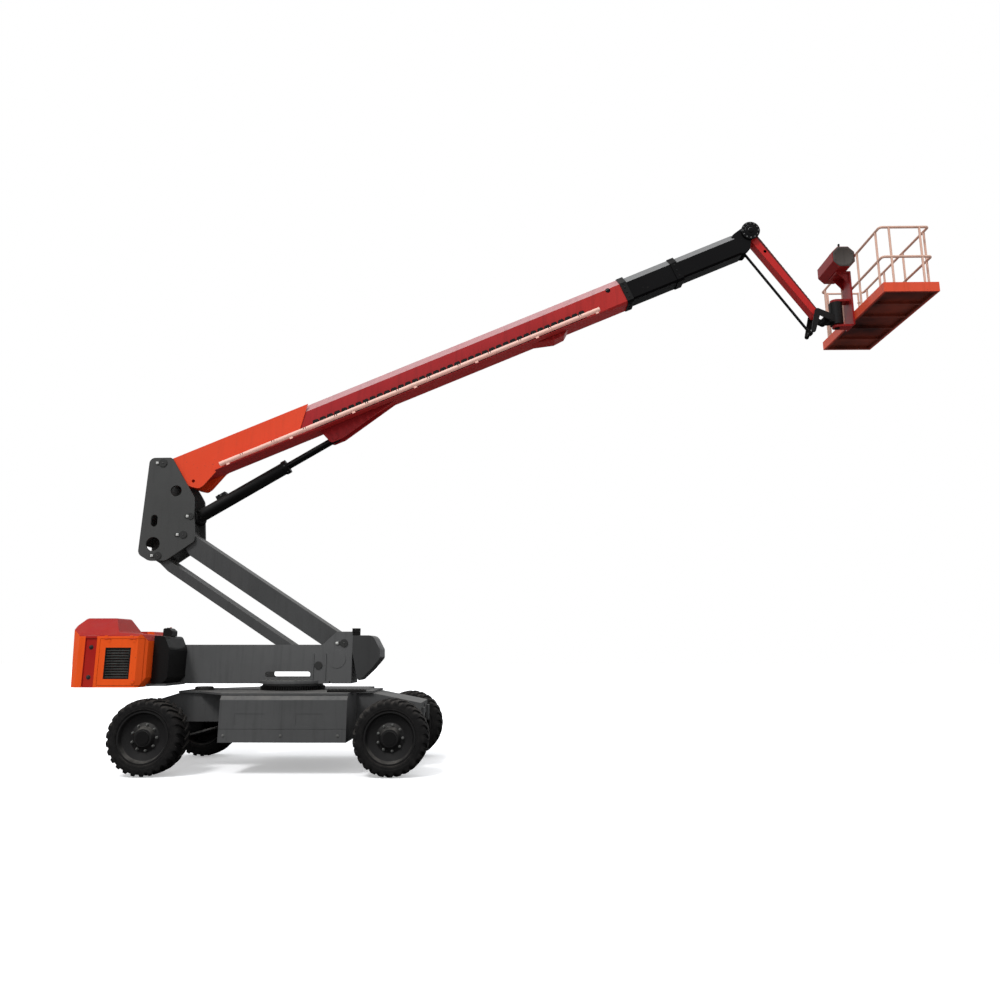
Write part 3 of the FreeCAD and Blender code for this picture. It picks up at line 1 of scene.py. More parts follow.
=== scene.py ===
# %% [markdown]
# # Boom lift: from the plain CAD frame to a finished machine
# The frame holds the plain steel parts at full size. This script dresses it: paint with dust and
# wear, tyres with real tread, the link chain beside the boom, bolts, the controls, and a plain
# studio. Pieces are placed from the frame's boxes and joints, so they follow if the frame
# changes; small fittings keep their own fixed sizes.

# %% Load the frame
import json
import math
import random

import bmesh
import bpy
from mathutils import Matrix, Vector


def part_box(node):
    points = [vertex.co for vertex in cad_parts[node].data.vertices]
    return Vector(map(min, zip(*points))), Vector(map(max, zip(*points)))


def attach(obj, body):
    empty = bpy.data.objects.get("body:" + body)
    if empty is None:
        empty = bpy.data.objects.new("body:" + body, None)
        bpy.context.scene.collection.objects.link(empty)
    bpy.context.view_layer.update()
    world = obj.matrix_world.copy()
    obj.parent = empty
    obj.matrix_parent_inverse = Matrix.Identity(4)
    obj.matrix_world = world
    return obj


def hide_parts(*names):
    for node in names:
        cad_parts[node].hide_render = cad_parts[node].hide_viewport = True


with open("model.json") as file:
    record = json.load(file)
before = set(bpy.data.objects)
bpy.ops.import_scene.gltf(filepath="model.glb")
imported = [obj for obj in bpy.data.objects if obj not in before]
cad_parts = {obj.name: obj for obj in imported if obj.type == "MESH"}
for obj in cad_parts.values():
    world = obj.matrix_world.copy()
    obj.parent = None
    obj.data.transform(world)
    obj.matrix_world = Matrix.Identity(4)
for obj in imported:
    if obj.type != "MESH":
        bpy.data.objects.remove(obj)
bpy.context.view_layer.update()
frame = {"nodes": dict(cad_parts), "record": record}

NODES = frame["nodes"]
RECORD = frame["record"]
random.seed(7)
print("nodes in the frame:", len(NODES))

# %% [markdown]
# ## Where things are
# The joints give exact pin centres and the direction of the boom, the jib and the lift cylinder.
# A small matrix for each lets a detail be placed in the arm's own directions: along, across, up.

# %% Joint centres and arm directions
JOINTS = {joint["name"]: joint for joint in RECORD["behaviour"]["joints"]}


def pin(name):
    return Vector(JOINTS[name]["pos_m"])


def arm_matrix(origin, along):
    """Local x runs along the arm, y across the machine, z at right angles, upwards."""
    x = Vector(along).normalized()
    y = Vector((0, 1, 0))
    z = x.cross(y)
    m = Matrix((x, y, z)).transposed().to_4x4()
    m.translation = origin
    return m


BOOM = arm_matrix(pin("boom_lift"), JOINTS["mid_boom_slide"]["axis"])
JIB = arm_matrix(pin("jib_lift"), pin("jib_head_level") - pin("jib_lift"))
CYLINDER = arm_matrix(pin("lift_cylinder_pivot"), JOINTS["lift_cylinder_stroke"]["axis"])
print("boom pivot", [round(v, 3) for v in pin("boom_lift")])


def local_box(node, matrix):
    """Lowest and highest corner of a node in an arm's own directions."""
    inverse = matrix.inverted()
    points = [inverse @ v.co for v in NODES[node].data.vertices]
    low = Vector([min(p[i] for p in points) for i in range(3)])
    high = Vector([max(p[i] for p in points) for i in range(3)])
    return low, high


# %% [markdown]
# ## Simple solids to build with
# Small fittings on a real machine are turned, sawn or folded. Each helper returns points and
# faces for one such solid. Blender's own primitives would do too, but plain lists are quicker to
# make by the hundred and are easy to join.

# %% Building blocks
def block(x0, x1, y0, y1, z0, z1):
    points = [(x, y, z) for x in (x0, x1) for y in (y0, y1) for z in (z0, z1)]
    faces = [(0, 1, 3, 2), (4, 6, 7, 5), (0, 4, 5, 1), (2, 3, 7, 6), (0, 2, 6, 4), (1, 5, 7, 3)]
    return points, faces


def turned(centre, axis, profile, sides):
    """A turned piece: the profile lists (distance along the axis, radius)."""
    axis = Vector(axis).normalized()
    side = axis.orthogonal().normalized()
    other = axis.cross(side)
    points, faces = [], []
    for along, radius in profile:
        for i in range(sides):
            a = 2 * math.pi * i / sides
            offset = side * math.cos(a) * radius + other * math.sin(a) * radius
            points.append(tuple(Vector(centre) + axis * along + offset))
    for ring in range(len(profile) - 1):
        for i in range(sides):
            j = (i + 1) % sides
            a, b = ring * sides, (ring + 1) * sides
            faces.append((a + i, a + j, b + j, b + i))
    last = (len(profile) - 1) * sides
    faces.append(tuple(reversed(range(sides))))
    faces.append(tuple(range(last, last + sides)))
    return points, faces


def bolt(centre, axis, radius, height):
    """Washer and hexagon head."""
    axis = Vector(axis).normalized()
    washer = turned(centre, axis, [(-0.001, radius * 1.6), (0.003, radius * 1.6)], 20)
    head_at = Vector(centre) + axis * 0.003
    crown = [(0, radius), (height * 0.8, radius), (height, radius * 0.85)]
    return [washer, turned(head_at, axis, crown, 6)]


# %% [markdown]
# ## Circles of places, and skins over rings
# Wheel nuts and cover screws stand on circles, so one helper works out their places. A loft lays a
# skin over a row of outlines; it makes what can't be turned, such as tread bars and chain plates.

# %% Circles and lofts
def circle(centre, y, radius, count, turn=0.0):
    """Even places on a circle about the y direction, begun a part of a step round."""
    spots = []
    for i in range(count):
        a = 2 * math.pi * (i + turn) / count
        spots.append((centre.x + radius * math.cos(a), y, centre.z + radius * math.sin(a)))
    return spots


def loft(rings):
    """A skin over rings with the same number of points, closed at both ends."""
    count = len(rings[0])
    points = [tuple(p) for ring in rings for p in ring]
    faces = []
    for r in range(len(rings) - 1):
        for i in range(count):
            j = (i + 1) % count
            faces.append((r * count + i, r * count + j, (r + 1) * count + j, (r + 1) * count + i))
    faces.append(tuple(reversed(range(count))))
    faces.append(tuple(range((len(rings) - 1) * count, len(rings) * count)))
    return points, faces


# %% [markdown]
# ## Joining solids into one piece
# A ring of bolts is one object here: hundreds of separate objects would be slow to handle. The
# solids go into one mesh, its sharp edges are bevelled as a file would break them, and the piece
# rides on the body that carries it.

# %% Make a piece
SHARP_EDGE = math.radians(40)


def make(name, solids, material, body, matrix=None, ease=0.0015, smooth=35.0, *, slot):
    """One object from many solids, with its edges eased, riding on a body."""
    mesh = bmesh.new()
    for points, faces in solids:
        made = [mesh.verts.new(p) for p in points]
        for face in faces:
            mesh.faces.new([made[i] for i in face])
    bmesh.ops.recalc_face_normals(mesh, faces=mesh.faces)
    if ease:
        sharp = [e for e in mesh.edges if len(e.link_faces) == 2 and e.calc_face_angle(0) > SHARP_EDGE]
        bmesh.ops.bevel(mesh, geom=sharp, offset=ease, segments=2, profile=0.6, affect="EDGES",
                        clamp_overlap=True)
    if matrix is not None:
        mesh.transform(matrix)
    data = bpy.data.meshes.new(name)
    mesh.to_mesh(data)
    mesh.free()
    data.polygons.foreach_set("use_smooth", [True] * len(data.polygons))
    data.set_sharp_from_angle(angle=math.radians(smooth))
    data.materials.append(material)
    piece = bpy.data.objects.new(name, data)
    bpy.context.scene.collection.objects.link(piece)
    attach(piece, body)
    print("made", name, "faces:", len(data.polygons))
    return piece


# %% [markdown]
# ## Paint, dust and wear
# A machine that works outdoors isn't one flat colour. The finishes are built from nodes, so they
# need no pictures and stay sharp close up. These first helpers add one node each and join it up.

# %% Colours and single nodes
def linear(red, green, blue):
    def channel(v):
        v /= 255
        return v / 12.92 if v <= 0.04045 else ((v + 0.055) / 1.055) ** 2.4
    return (channel(red), channel(green), channel(blue), 1.0)


def link(tree, source, target):
    tree.links.new(source, target)


def noise(tree, vector, scale, detail, rough):
    node = tree.nodes.new("ShaderNodeTexNoise")
    node.inputs["Scale"].default_value = scale
    node.inputs["Detail"].default_value = detail
    node.inputs["Roughness"].default_value = rough
    link(tree, vector, node.inputs["Vector"])
    return node.outputs["Fac"]


def remap(tree, value, low, high, to_low=0.0, to_high=1.0):
    node = tree.nodes.new("ShaderNodeMapRange")
    for key, number in (("From Min", low), ("From Max", high), ("To Min", to_low), ("To Max", to_high)):
        node.inputs[key].default_value = number
    link(tree, value, node.inputs["Value"])
    return node.outputs["Result"]


def math_node(tree, operation, first, second):
    node = tree.nodes.new("ShaderNodeMath")
    node.operation = operation
    for socket, value in zip(node.inputs, (first, second)):
        if isinstance(value, (int, float)):
            socket.default_value = value
        else:
            link(tree, value, socket)
    return node.outputs[0]


def stretched(tree, vector, scale):
    node = tree.nodes.new("ShaderNodeMapping")
    node.inputs["Scale"].default_value = scale
    link(tree, vector, node.inputs["Vector"])
    return node.outputs["Vector"]


# %% [markdown]
# ## Wear masks
# Sun fades enamel unevenly, rain leaves streaks, dust settles on what faces up, and a sprayed coat
# has a fine texture. One node group works out those masks from the place and the facing of the
# surface in its rest position, so the wear stays put when the machine moves.

# %% Shared wear masks
def build_wear():
    group = bpy.data.node_groups.new("wear", "ShaderNodeTree")
    for name in ("Mottle", "Streak", "Dust", "Chips", "Grain"):
        group.interface.new_socket(name, in_out="OUTPUT", socket_type="NodeSocketFloat")
    place = group.nodes.new("ShaderNodeTexCoord").outputs["Object"]
    out = group.nodes.new("NodeGroupOutput")
    mottle = noise(group, place, 1.1, 7.0, 0.62)
    link(group, remap(group, mottle, 0.35, 0.68), out.inputs["Mottle"])
    streak = noise(group, stretched(group, place, (9.0, 9.0, 0.7)), 1.6, 6.0, 0.6)
    link(group, remap(group, streak, 0.5, 0.78), out.inputs["Streak"])
    normal = group.nodes.new("ShaderNodeTexCoord").outputs["Normal"]
    split = group.nodes.new("ShaderNodeSeparateXYZ")
    link(group, normal, split.inputs[0])
    facing_up = remap(group, split.outputs["Z"], 0.15, 0.75)
    settled = remap(group, noise(group, place, 5.0, 6.0, 0.65), 0.3, 0.62)
    link(group, math_node(group, "MULTIPLY", facing_up, settled), out.inputs["Dust"])
    chips = noise(group, place, 34.0, 3.0, 0.5)
    patches = remap(group, noise(group, place, 2.3, 3.0, 0.5), 0.48, 0.6)
    small = remap(group, chips, 0.69, 0.72)
    link(group, math_node(group, "MULTIPLY", small, patches), out.inputs["Chips"])
    link(group, noise(group, place, 210.0, 2.0, 0.5), out.inputs["Grain"])
    return group


WEAR = build_wear()
print("wear masks:", [s.name for s in WEAR.interface.items_tree])

# %% [markdown]
# ## One finish
# Every painted or bare surface is the same recipe with its own amounts: base colour, then fading,
# streaks, chips and dust over it, and a roughness that rises where it is dirty. The shader stays
# in the material itself; only the masks come from the group.

# %% Colour mixing and the finish
def mix_colour(tree, mask, first, second):
    node = tree.nodes.new("ShaderNodeMix")
    node.data_type = "RGBA"
    for key, value in (("Factor_Float", mask), ("A_Color", first), ("B_Color", second)):
        socket = next(s for s in node.inputs if s.identifier == key)
        if isinstance(value, (tuple, float)):
            socket.default_value = value
        else:
            link(tree, value, socket)
    return next(s for s in node.outputs if s.identifier == "Result_Color")


def scaled(tree, value, factor):
    return math_node(tree, "MULTIPLY", value, factor)


def finish(name, colour, rough, coat, metallic=0.0, fade=0.2, grime=0.3, dust=0.3,
           chips=0.5, grain=0.12, under=(52, 48, 46), dust_and_sheen_colour=(140, 136, 130), shine=0.3, paint=None):
    """Enamel or unpainted metal with its own amount of fading, streaks, dust and chips; a pale dust colour
    also paints a highlight on upward faces.
    """
    material = bpy.data.materials.new(name)
    material.use_nodes = True
    tree = material.node_tree
    shader = tree.nodes["Principled BSDF"]
    wear = tree.nodes.new("ShaderNodeGroup")
    wear.node_tree = WEAR
    base = linear(*colour)
    if paint:
        base = paint(tree, base)
    pale = linear(*[min(255, c * 1.12 + 16) for c in colour])
    dark = linear(*[c * 0.5 for c in colour])
    shade = mix_colour(tree, scaled(tree, wear.outputs["Mottle"], fade), base, pale)
    shade = mix_colour(tree, scaled(tree, wear.outputs["Streak"], grime), shade, dark)
    shade = mix_colour(tree, scaled(tree, wear.outputs["Chips"], chips), shade, linear(*under))
    shade = mix_colour(tree, scaled(tree, wear.outputs["Dust"], dust), shade, linear(*dust_and_sheen_colour))
    link(tree, shade, shader.inputs["Base Color"])
    soiled = math_node(tree, "ADD", scaled(tree, wear.outputs["Dust"], dust),
                       scaled(tree, wear.outputs["Mottle"], 0.25))
    link(tree, remap(tree, soiled, 0.0, 0.8, rough, min(1.0, rough + 0.4)), shader.inputs["Roughness"])
    shader.inputs["Metallic"].default_value = metallic
    shader.inputs["Coat Weight"].default_value = coat
    shader.inputs["Coat Roughness"].default_value = 0.2
    shader.inputs["Specular IOR Level"].default_value = shine
    bump = tree.nodes.new("ShaderNodeBump")
    bump.inputs["Strength"].default_value = grain
    bump.inputs["Distance"].default_value = 0.002
    height = math_node(tree, "SUBTRACT", wear.outputs["Grain"], scaled(tree, wear.outputs["Chips"], 1.5))
    link(tree, height, bump.inputs["Height"])
    link(tree, bump.outputs["Normal"], shader.inputs["Normal"])
    return material


# %% [markdown]
# ## Two-tone stretches
# Where one part carries two colours, the change is painted at a measured place: a mask along one
# direction of the part, with a crisp edge, as masking tape leaves it.

# %% Masks along a direction
def along_mask(tree, origin, direction, start, end):
    """0 before start, 1 after end, measured from origin along direction, in metres."""
    place = tree.nodes.new("ShaderNodeTexCoord").outputs["Object"]
    shift = tree.nodes.new("ShaderNodeVectorMath")
    shift.operation = "SUBTRACT"
    link(tree, place, shift.inputs[0])
    shift.inputs[1].default_value = tuple(origin)
    dot = tree.nodes.new("ShaderNodeVectorMath")
    dot.operation = "DOT_PRODUCT"
    link(tree, shift.outputs[0], dot.inputs[0])
    dot.inputs[1].default_value = tuple(direction)
    return remap(tree, dot.outputs["Value"], start, end)


def facing(tree, direction, low, high):
    """A mask for the faces that look in a direction of the part itself."""
    normal = tree.nodes.new("ShaderNodeTexCoord").outputs["Normal"]
    dot = tree.nodes.new("ShaderNodeVectorMath")
    dot.operation = "DOT_PRODUCT"
    link(tree, normal, dot.inputs[0])
    dot.inputs[1].default_value = tuple(direction)
    return remap(tree, dot.outputs["Value"], low, high)


# %% [markdown]
# ## Paint on the arms
# The outer boom carries a painted reflection that makes it warmer towards its mouth, the bent upper
# edges carry a painted highlight where they face the sky, and the underside carries painted shade.
# The colours change at measured distances from the boom's pivot.

# %% Boom and jib paint
BOOM_AXIS = Vector(JOINTS["mid_boom_slide"]["axis"])
BOOM_UP = BOOM_AXIS.cross(Vector((0, 1, 0)))
BOOM_LOW, BOOM_HIGH = local_box("base_boom", BOOM)
COLLAR_START, COLLAR_EDGE = 0.117, 0.116  # back from the mouth of the middle section
HOSE_STRIP = (0.036, 0.038)  # the dark strip's soft lower edge, above the jib's pin line


def boom_paint(tree, base):
    """Painted reflection warming it towards the mouth, painted highlight on the bent top edge and painted
    shade below.
    """
    # Painted reflection: a lighter, warmer red over the last quarter of the base boom.
    mask = along_mask(tree, pin("boom_lift"), BOOM_AXIS, BOOM_HIGH.x * 0.75, BOOM_HIGH.x)
    base = mix_colour(tree, scaled(tree, mask, 0.8), base, linear(186, 46, 38))
    # Painted highlight: pale pink on the bent top facets that face the sky.
    base = mix_colour(tree, scaled(tree, facing(tree, BOOM_UP, 0.3, 0.42), 0.72), base, linear(206, 172, 174))
    # Painted shade: a darker red on the faces that look down.
    return mix_colour(tree, facing(tree, -BOOM_UP, 0.5, 0.8), base, linear(172, 34, 32))


def black_boom_paint(tree, base):
    """The bent top edge of the black sections carries a painted highlight, but not on the collar."""
    mouth = local_box("mid_boom", BOOM)[1].x
    collar = along_mask(tree, pin("boom_lift"), BOOM_AXIS, mouth - COLLAR_START, mouth - COLLAR_EDGE)
    past = along_mask(tree, pin("boom_lift"), BOOM_AXIS, mouth, mouth + 0.001)
    sheen_reach = math_node(tree, "SUBTRACT", 0.8, scaled(tree, math_node(tree, "SUBTRACT", collar, past), 0.8))
    # Painted highlight: light grey on the bent top facets that face the sky.
    edge = math_node(tree, "MULTIPLY", sheen_reach, facing(tree, BOOM_UP, 0.3, 0.42))
    return mix_colour(tree, edge, base, linear(150, 150, 150))


def jib_paint(tree, base):
    """A dark strip along the upper edge, where the hoses lie."""
    up = Vector(JIB.col[2][:3])
    strip = along_mask(tree, pin("jib_lift"), up, *HOSE_STRIP)
    return mix_colour(tree, strip, base, linear(30, 20, 20))


# %% [markdown]
# ## Paint on the tail and the platform
# The hoods and the tail weight are dark red on top and orange below. The platform floor has orange
# kick plates round a dark walking sheet.

# %% Tail and floor paint
BAND_FRONT, BAND_BACK = 0.225, 0.035  # bare ends of the tail weight beside its dark band
KICK_PLATE, KICK_EDGE = 0.03, 0.034  # the kick plate's width, and where the sheet begins


def top_red(tree, base):
    """The pods are painted dark red on everything that looks up."""
    return mix_colour(tree, facing(tree, (0, 0, 1), 0.22, 0.3), base, linear(160, 12, 8))


def weight_paint(tree, base):
    """A dark red band on the flanks of the tail weight, and a red top."""
    low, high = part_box("counterweight")
    start = low[0] + BAND_FRONT
    mask = along_mask(tree, (0, 0, 0), (1, 0, 0), start, start + 0.004)
    end = along_mask(tree, (0, 0, 0), (1, 0, 0), high[0] - BAND_BACK, high[0] - 0.03)
    band = math_node(tree, "SUBTRACT", mask, end)
    return top_red(tree, mix_colour(tree, band, base, linear(164, 24, 22)))


def floor_paint(tree, base):
    """Orange-red kick plates, a dark walking sheet and a maroon underside with a redder rim."""
    low, high = (Vector(c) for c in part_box("platform_floor"))
    inside = None
    for axis, a, b in (((1, 0, 0), low.x, high.x), ((0, 1, 0), low.y, high.y)):
        near = along_mask(tree, (0, 0, 0), axis, a + KICK_PLATE, a + KICK_EDGE)
        far = along_mask(tree, (0, 0, 0), axis, b - KICK_EDGE, b - KICK_PLATE)
        strip = math_node(tree, "SUBTRACT", near, far)
        inside = strip if inside is None else math_node(tree, "MULTIPLY", inside, strip)
    base = mix_colour(tree, facing(tree, (0, 0, -1), 0.3, 0.6), base, linear(160, 36, 24))
    return mix_colour(tree, inside, base, linear(44, 15, 13))


# %% [markdown]
# ## The finishes
# Each finish is named for what it is on the machine. Greys are dusty and dull, the black boom
# sections are kept very dark, and bare metal is left for the tie rod, nuts and bolts.

# %% Finishes
MATERIALS = {
    "chassis_grey": finish("chassis_grey", (72, 72, 72), rough=0.5, coat=0.05, grime=0.35, dust=0.35),
    "turntable_grey": finish("turntable_grey", (82, 82, 82), rough=0.45, coat=0.05, dust=0.35),
    "upright_grey": finish("upright_grey", (64, 64, 63), rough=0.45, coat=0.05, grime=0.25),
    # Painted shade: the nose wears a darker grey than the turntable for the shade it sits in.
    "nose_shaded_grey": finish("nose_shaded_grey", (51, 51, 51), rough=0.42, coat=0.1, grime=0.25),
    "link_grey": finish("link_grey", (63, 63, 63), rough=0.45, coat=0.05),
    # The pale dust on the boom's upward facets is also a painted highlight.
    "boom_red": finish("boom_red", (164, 32, 36), rough=0.34, coat=0.06, dust=0.3,
                       dust_and_sheen_colour=(176, 168, 166), shine=0.18, paint=boom_paint),
    "jib_red": finish("jib_red", (186, 30, 28), rough=0.34, coat=0.08, dust=0.2, shine=0.2,
                      paint=jib_paint),
    "root_orange": finish("root_orange", (230, 66, 24), rough=0.32, coat=0.2, fade=0.12, grime=0.15,
                          dust=0.15),
    "boom_black": finish("boom_black", (13, 12, 13), rough=0.34, coat=0.05, fade=0.08, grime=0.1,
                         dust=0.15, shine=0.06, paint=black_boom_paint),
    "bodywork_orange": finish("bodywork_orange", (235, 84, 24), rough=0.42, coat=0.02, fade=0.1, grime=0.15,
                              dust=0.05, shine=0.12, paint=top_red),
    "weight_orange": finish("weight_orange", (233, 82, 24), rough=0.42, coat=0.02, fade=0.1, grime=0.15,
                            dust=0.05, shine=0.12, paint=weight_paint),
    "tank_black": finish("tank_black", (15, 14, 14), rough=0.45, coat=0.1, fade=0.1, grime=0.1, dust=0.15,
                         shine=0.15),
    "black_plastic": finish("black_plastic", (17, 16, 16), rough=0.62, coat=0.0, grime=0.1, dust=0.2,
                            chips=0.0, shine=0.15),
    "pin_steel": finish("pin_steel", (120, 118, 114), rough=0.36, coat=0.0, metallic=0.9, chips=0.0,
                        grime=0.4),
    "pin_dark": finish("pin_dark", (44, 44, 43), rough=0.45, coat=0.0, grime=0.4),
    # Painted shade and reflection: the chrome rod is near black for the shade and dark reflections on it.
    "rod_shaded_black": finish("rod_shaded_black", (16, 16, 17), rough=0.22, coat=0.2, metallic=0.4, fade=0.05, grime=0.15,
                        dust=0.1, chips=0.0, grain=0.04, shine=0.2),
    "pipe_pale": finish("pipe_pale", (250, 198, 182), rough=0.45, coat=0.1, grime=0.25, dust=0.15, chips=0.3),
    "platform_red": finish("platform_red", (222, 74, 38), rough=0.4, coat=0.15, dust=0.2, paint=floor_paint),
    # The pale peach dust on the console's upper facets is also a painted highlight.
    "console_maroon": finish("console_maroon", (140, 20, 20), rough=0.38, coat=0.08, dust=0.25,
                             dust_and_sheen_colour=(214, 150, 132)),
    "console_slate": finish("console_slate", (66, 60, 56), rough=0.5, coat=0.0, dust=0.2, chips=0.0),
    "rail_peach": finish("rail_peach", (222, 178, 158), rough=0.45, coat=0.1, chips=0.8, under=(120, 70, 52)),
    "rim_dark": finish("rim_dark", (22, 21, 21), rough=0.5, coat=0.1, dust=0.3, shine=0.2),
    "nut_grey": finish("nut_grey", (104, 104, 102), rough=0.42, coat=0.0, metallic=0.5, chips=0.0),
    "bright_zinc": finish("bright_zinc", (206, 206, 202), rough=0.4, coat=0.0, chips=0.0, fade=0.1),
    "stop_red": finish("stop_red", (196, 24, 20), rough=0.3, coat=0.3, chips=0.0, dust=0.2),
}

# %% [markdown]
# ## Rubber
# Tyre rubber is dull, near black and scuffed in patches. It has no clear coat, so it gets its own
# recipe: rough all over, a little paler where it is scuffed, and grained by a bump.

# %% Rubber material
def rubber():
    material = bpy.data.materials.new("tyre_rubber")
    material.use_nodes = True
    tree = material.node_tree
    shader = tree.nodes["Principled BSDF"]
    wear = tree.nodes.new("ShaderNodeGroup")
    wear.node_tree = WEAR
    place = tree.nodes.new("ShaderNodeTexCoord").outputs["Object"]
    scuffs = remap(tree, noise(tree, place, 14.0, 8.0, 0.7), 0.45, 0.75)
    shade = mix_colour(tree, scaled(tree, wear.outputs["Mottle"], 0.6), linear(12, 11, 11),
                       linear(22, 21, 21))
    shade = mix_colour(tree, scaled(tree, scuffs, 0.35), shade, linear(52, 50, 48))
    shade = mix_colour(tree, scaled(tree, wear.outputs["Dust"], 0.25), shade, linear(104, 98, 92))
    shader.inputs["Specular IOR Level"].default_value = 0.2
    link(tree, shade, shader.inputs["Base Color"])
    link(tree, remap(tree, scuffs, 0.0, 1.0, 0.72, 0.95), shader.inputs["Roughness"])
    bump = tree.nodes.new("ShaderNodeBump")
    bump.inputs["Strength"].default_value = 0.35
    bump.inputs["Distance"].default_value = 0.003
    link(tree, noise(tree, place, 90.0, 4.0, 0.6), bump.inputs["Height"])
    link(tree, bump.outputs["Normal"], shader.inputs["Normal"])
    return material


RUBBER = rubber()
print("materials:", len(MATERIALS) + 1)

# %% [markdown]
# ## Dressing the frame's own steelwork
# The plates, boxes and tubes keep their shape here, and each gets its paint. The finish goes on
# the object's own slot, so the frame's shared mesh isn't touched.

# %% Paint for each node
PAINT = {  # finish, and the nodes that wear it
    "chassis_grey": ["chassis_frame", "deck_plate", "side_boxes", "tie_down_lugs"],
    "turntable_grey": ["turntable_frame"],
    "nose_shaded_grey": ["turntable_nose"],
    "upright_grey": ["upright"],
    "link_grey": ["upper_riser_link", "lower_riser_link"],
    "tank_black": ["platform_head", "boom_tip_collar", "ground_control_box", "hydraulic_tank",
                   "fuel_tank", "steer_axle", "drive_axle", "left_steer_knuckle", "right_steer_knuckle",
                   "engine_block", "platform_rotator", "lift_cylinder_barrel", "slew_ring", "jib_tie"],
    "boom_red": ["base_boom", "cylinder_bracket", "hose_tray"],
    "jib_red": ["jib_arm"],
    "root_orange": ["boom_root"],
    "boom_black": ["mid_boom", "fly_boom", "fly_nose", "jib_pin"],
    "weight_orange": ["counterweight"],
    "bodywork_orange": ["left_hood", "right_hood", "left_hood_door", "right_hood_door"],
    "pin_steel": ["tie_rod"],
    "black_plastic": ["left_door_grille", "right_door_grille"],
    "pin_dark": ["riser_base_pins", "upright_pins"],
    "pipe_pale": ["hose_tube"],
    "rod_shaded_black": ["lift_cylinder_rod"],
    "platform_red": ["platform_floor"],
    "console_maroon": ["platform_mount", "control_console"],
    "rail_peach": ["platform_rails", "platform_gate"],
    "rim_dark": ["left_steer_rim", "right_steer_rim", "left_drive_rim", "right_drive_rim"],
}


def set_material(node, material):
    piece = NODES[node]
    for slot in piece.material_slots:
        slot.link = "OBJECT"
        slot.material = material


for paint, nodes in PAINT.items():
    for node in nodes:
        set_material(node, MATERIALS[paint])
print("painted nodes:", sum(len(nodes) for nodes in PAINT.values()))

# %% [markdown]
# ## Broken edges
# Plate edges are ground before they are sprayed, and the narrow round catches the light. A bevel
# modifier does it without changing the frame's own mesh; the tail weight, the nose and the tanks
# get a wider one.

# %% Bevels on plates and covers
def ease_edges(node, width):
    piece = NODES[node]
    weld = piece.modifiers.new("weld", "WELD")
    weld.merge_threshold = 0.00002
    bevel = piece.modifiers.new("ease", "BEVEL")
    bevel.width = width
    bevel.segments = 2
    bevel.limit_method = "ANGLE"
    bevel.angle_limit = math.radians(38)


PLATE_NODES = {  # width of the broken edge, in metres
    "chassis_frame": 0.004, "deck_plate": 0.003, "side_boxes": 0.005, "turntable_frame": 0.004,
    "turntable_nose": 0.008, "upright": 0.004, "upper_riser_link": 0.006, "lower_riser_link": 0.005,
    "boom_root": 0.003, "cylinder_bracket": 0.003, "counterweight": 0.01, "left_hood": 0.006,
    "right_hood": 0.006, "ground_control_box": 0.005, "hydraulic_tank": 0.008, "fuel_tank": 0.008,
    "platform_floor": 0.003, "control_console": 0.004, "platform_mount": 0.003, "jib_arm": 0.003,
}
for node, width in PLATE_NODES.items():
    ease_edges(node, width)
print("eased nodes:", len(PLATE_NODES))

# %% [markdown]
# ## Tyres
# Rough-terrain tyres carry deep slanting bars that meet in the middle, stepped so that they bite
# in turn. The carcass is a turned skin; every bar is a short loft that follows the crown and runs
# down over the shoulder, so the outline of the wheel is notched as it is on the real tyre.

# %% Tread sizes
BARS = 26
BAR_SLANT = 0.2  # how far a bar turns round the wheel from its middle to its shoulder
RIBS, RIB_THICK, RIB_INSET = (0.735, 0.80), 0.004, 0.0045  # rings moulded on the side wall
BAR_STATIONS = [  # across the tread, top radius, root radius and half width, as shares of the tyre
    (0.02, 1.0, 0.95, 0.042), (0.3, 1.0, 0.95, 0.044), (0.62, 0.998, 0.948, 0.05),
    (0.86, 0.982, 0.93, 0.058), (0.975, 0.94, 0.89, 0.06), (0.995, 0.875, 0.86, 0.05),
]
CARCASS = [  # across and radius, as shares; the bead sits on the rim
    (0.89, 0.689), (0.965, 0.71), (0.99, 0.76), (0.988, 0.83), (0.965, 0.89), (0.86, 0.93), (0.6, 0.951),
    (0.0, 0.956),
]


def torus(centre, radius, thick):
    """A ring about the y direction."""
    around, section = 72, 8
    points, faces = [], []
    for i in range(around):
        a = 2 * math.pi * i / around
        for j in range(section):
            b = 2 * math.pi * j / section
            r = radius + thick * math.cos(b)
            points.append((centre[0] + r * math.cos(a), centre[1] + thick * math.sin(b),
                           centre[2] + r * math.sin(a)))
    for i in range(around):
        for j in range(section):
            k, m = (i + 1) % around, (j + 1) % section
            faces.append((i * section + j, k * section + j, k * section + m, i * section + m))
    return points, faces


# %% [markdown]
# ## Building the tyre
# The bars of the two halves are half a step apart. Two thin rings on each side wall stand for the
# moulded ribs. The plain CAD tyre is replaced, so the new one keeps inside its width.

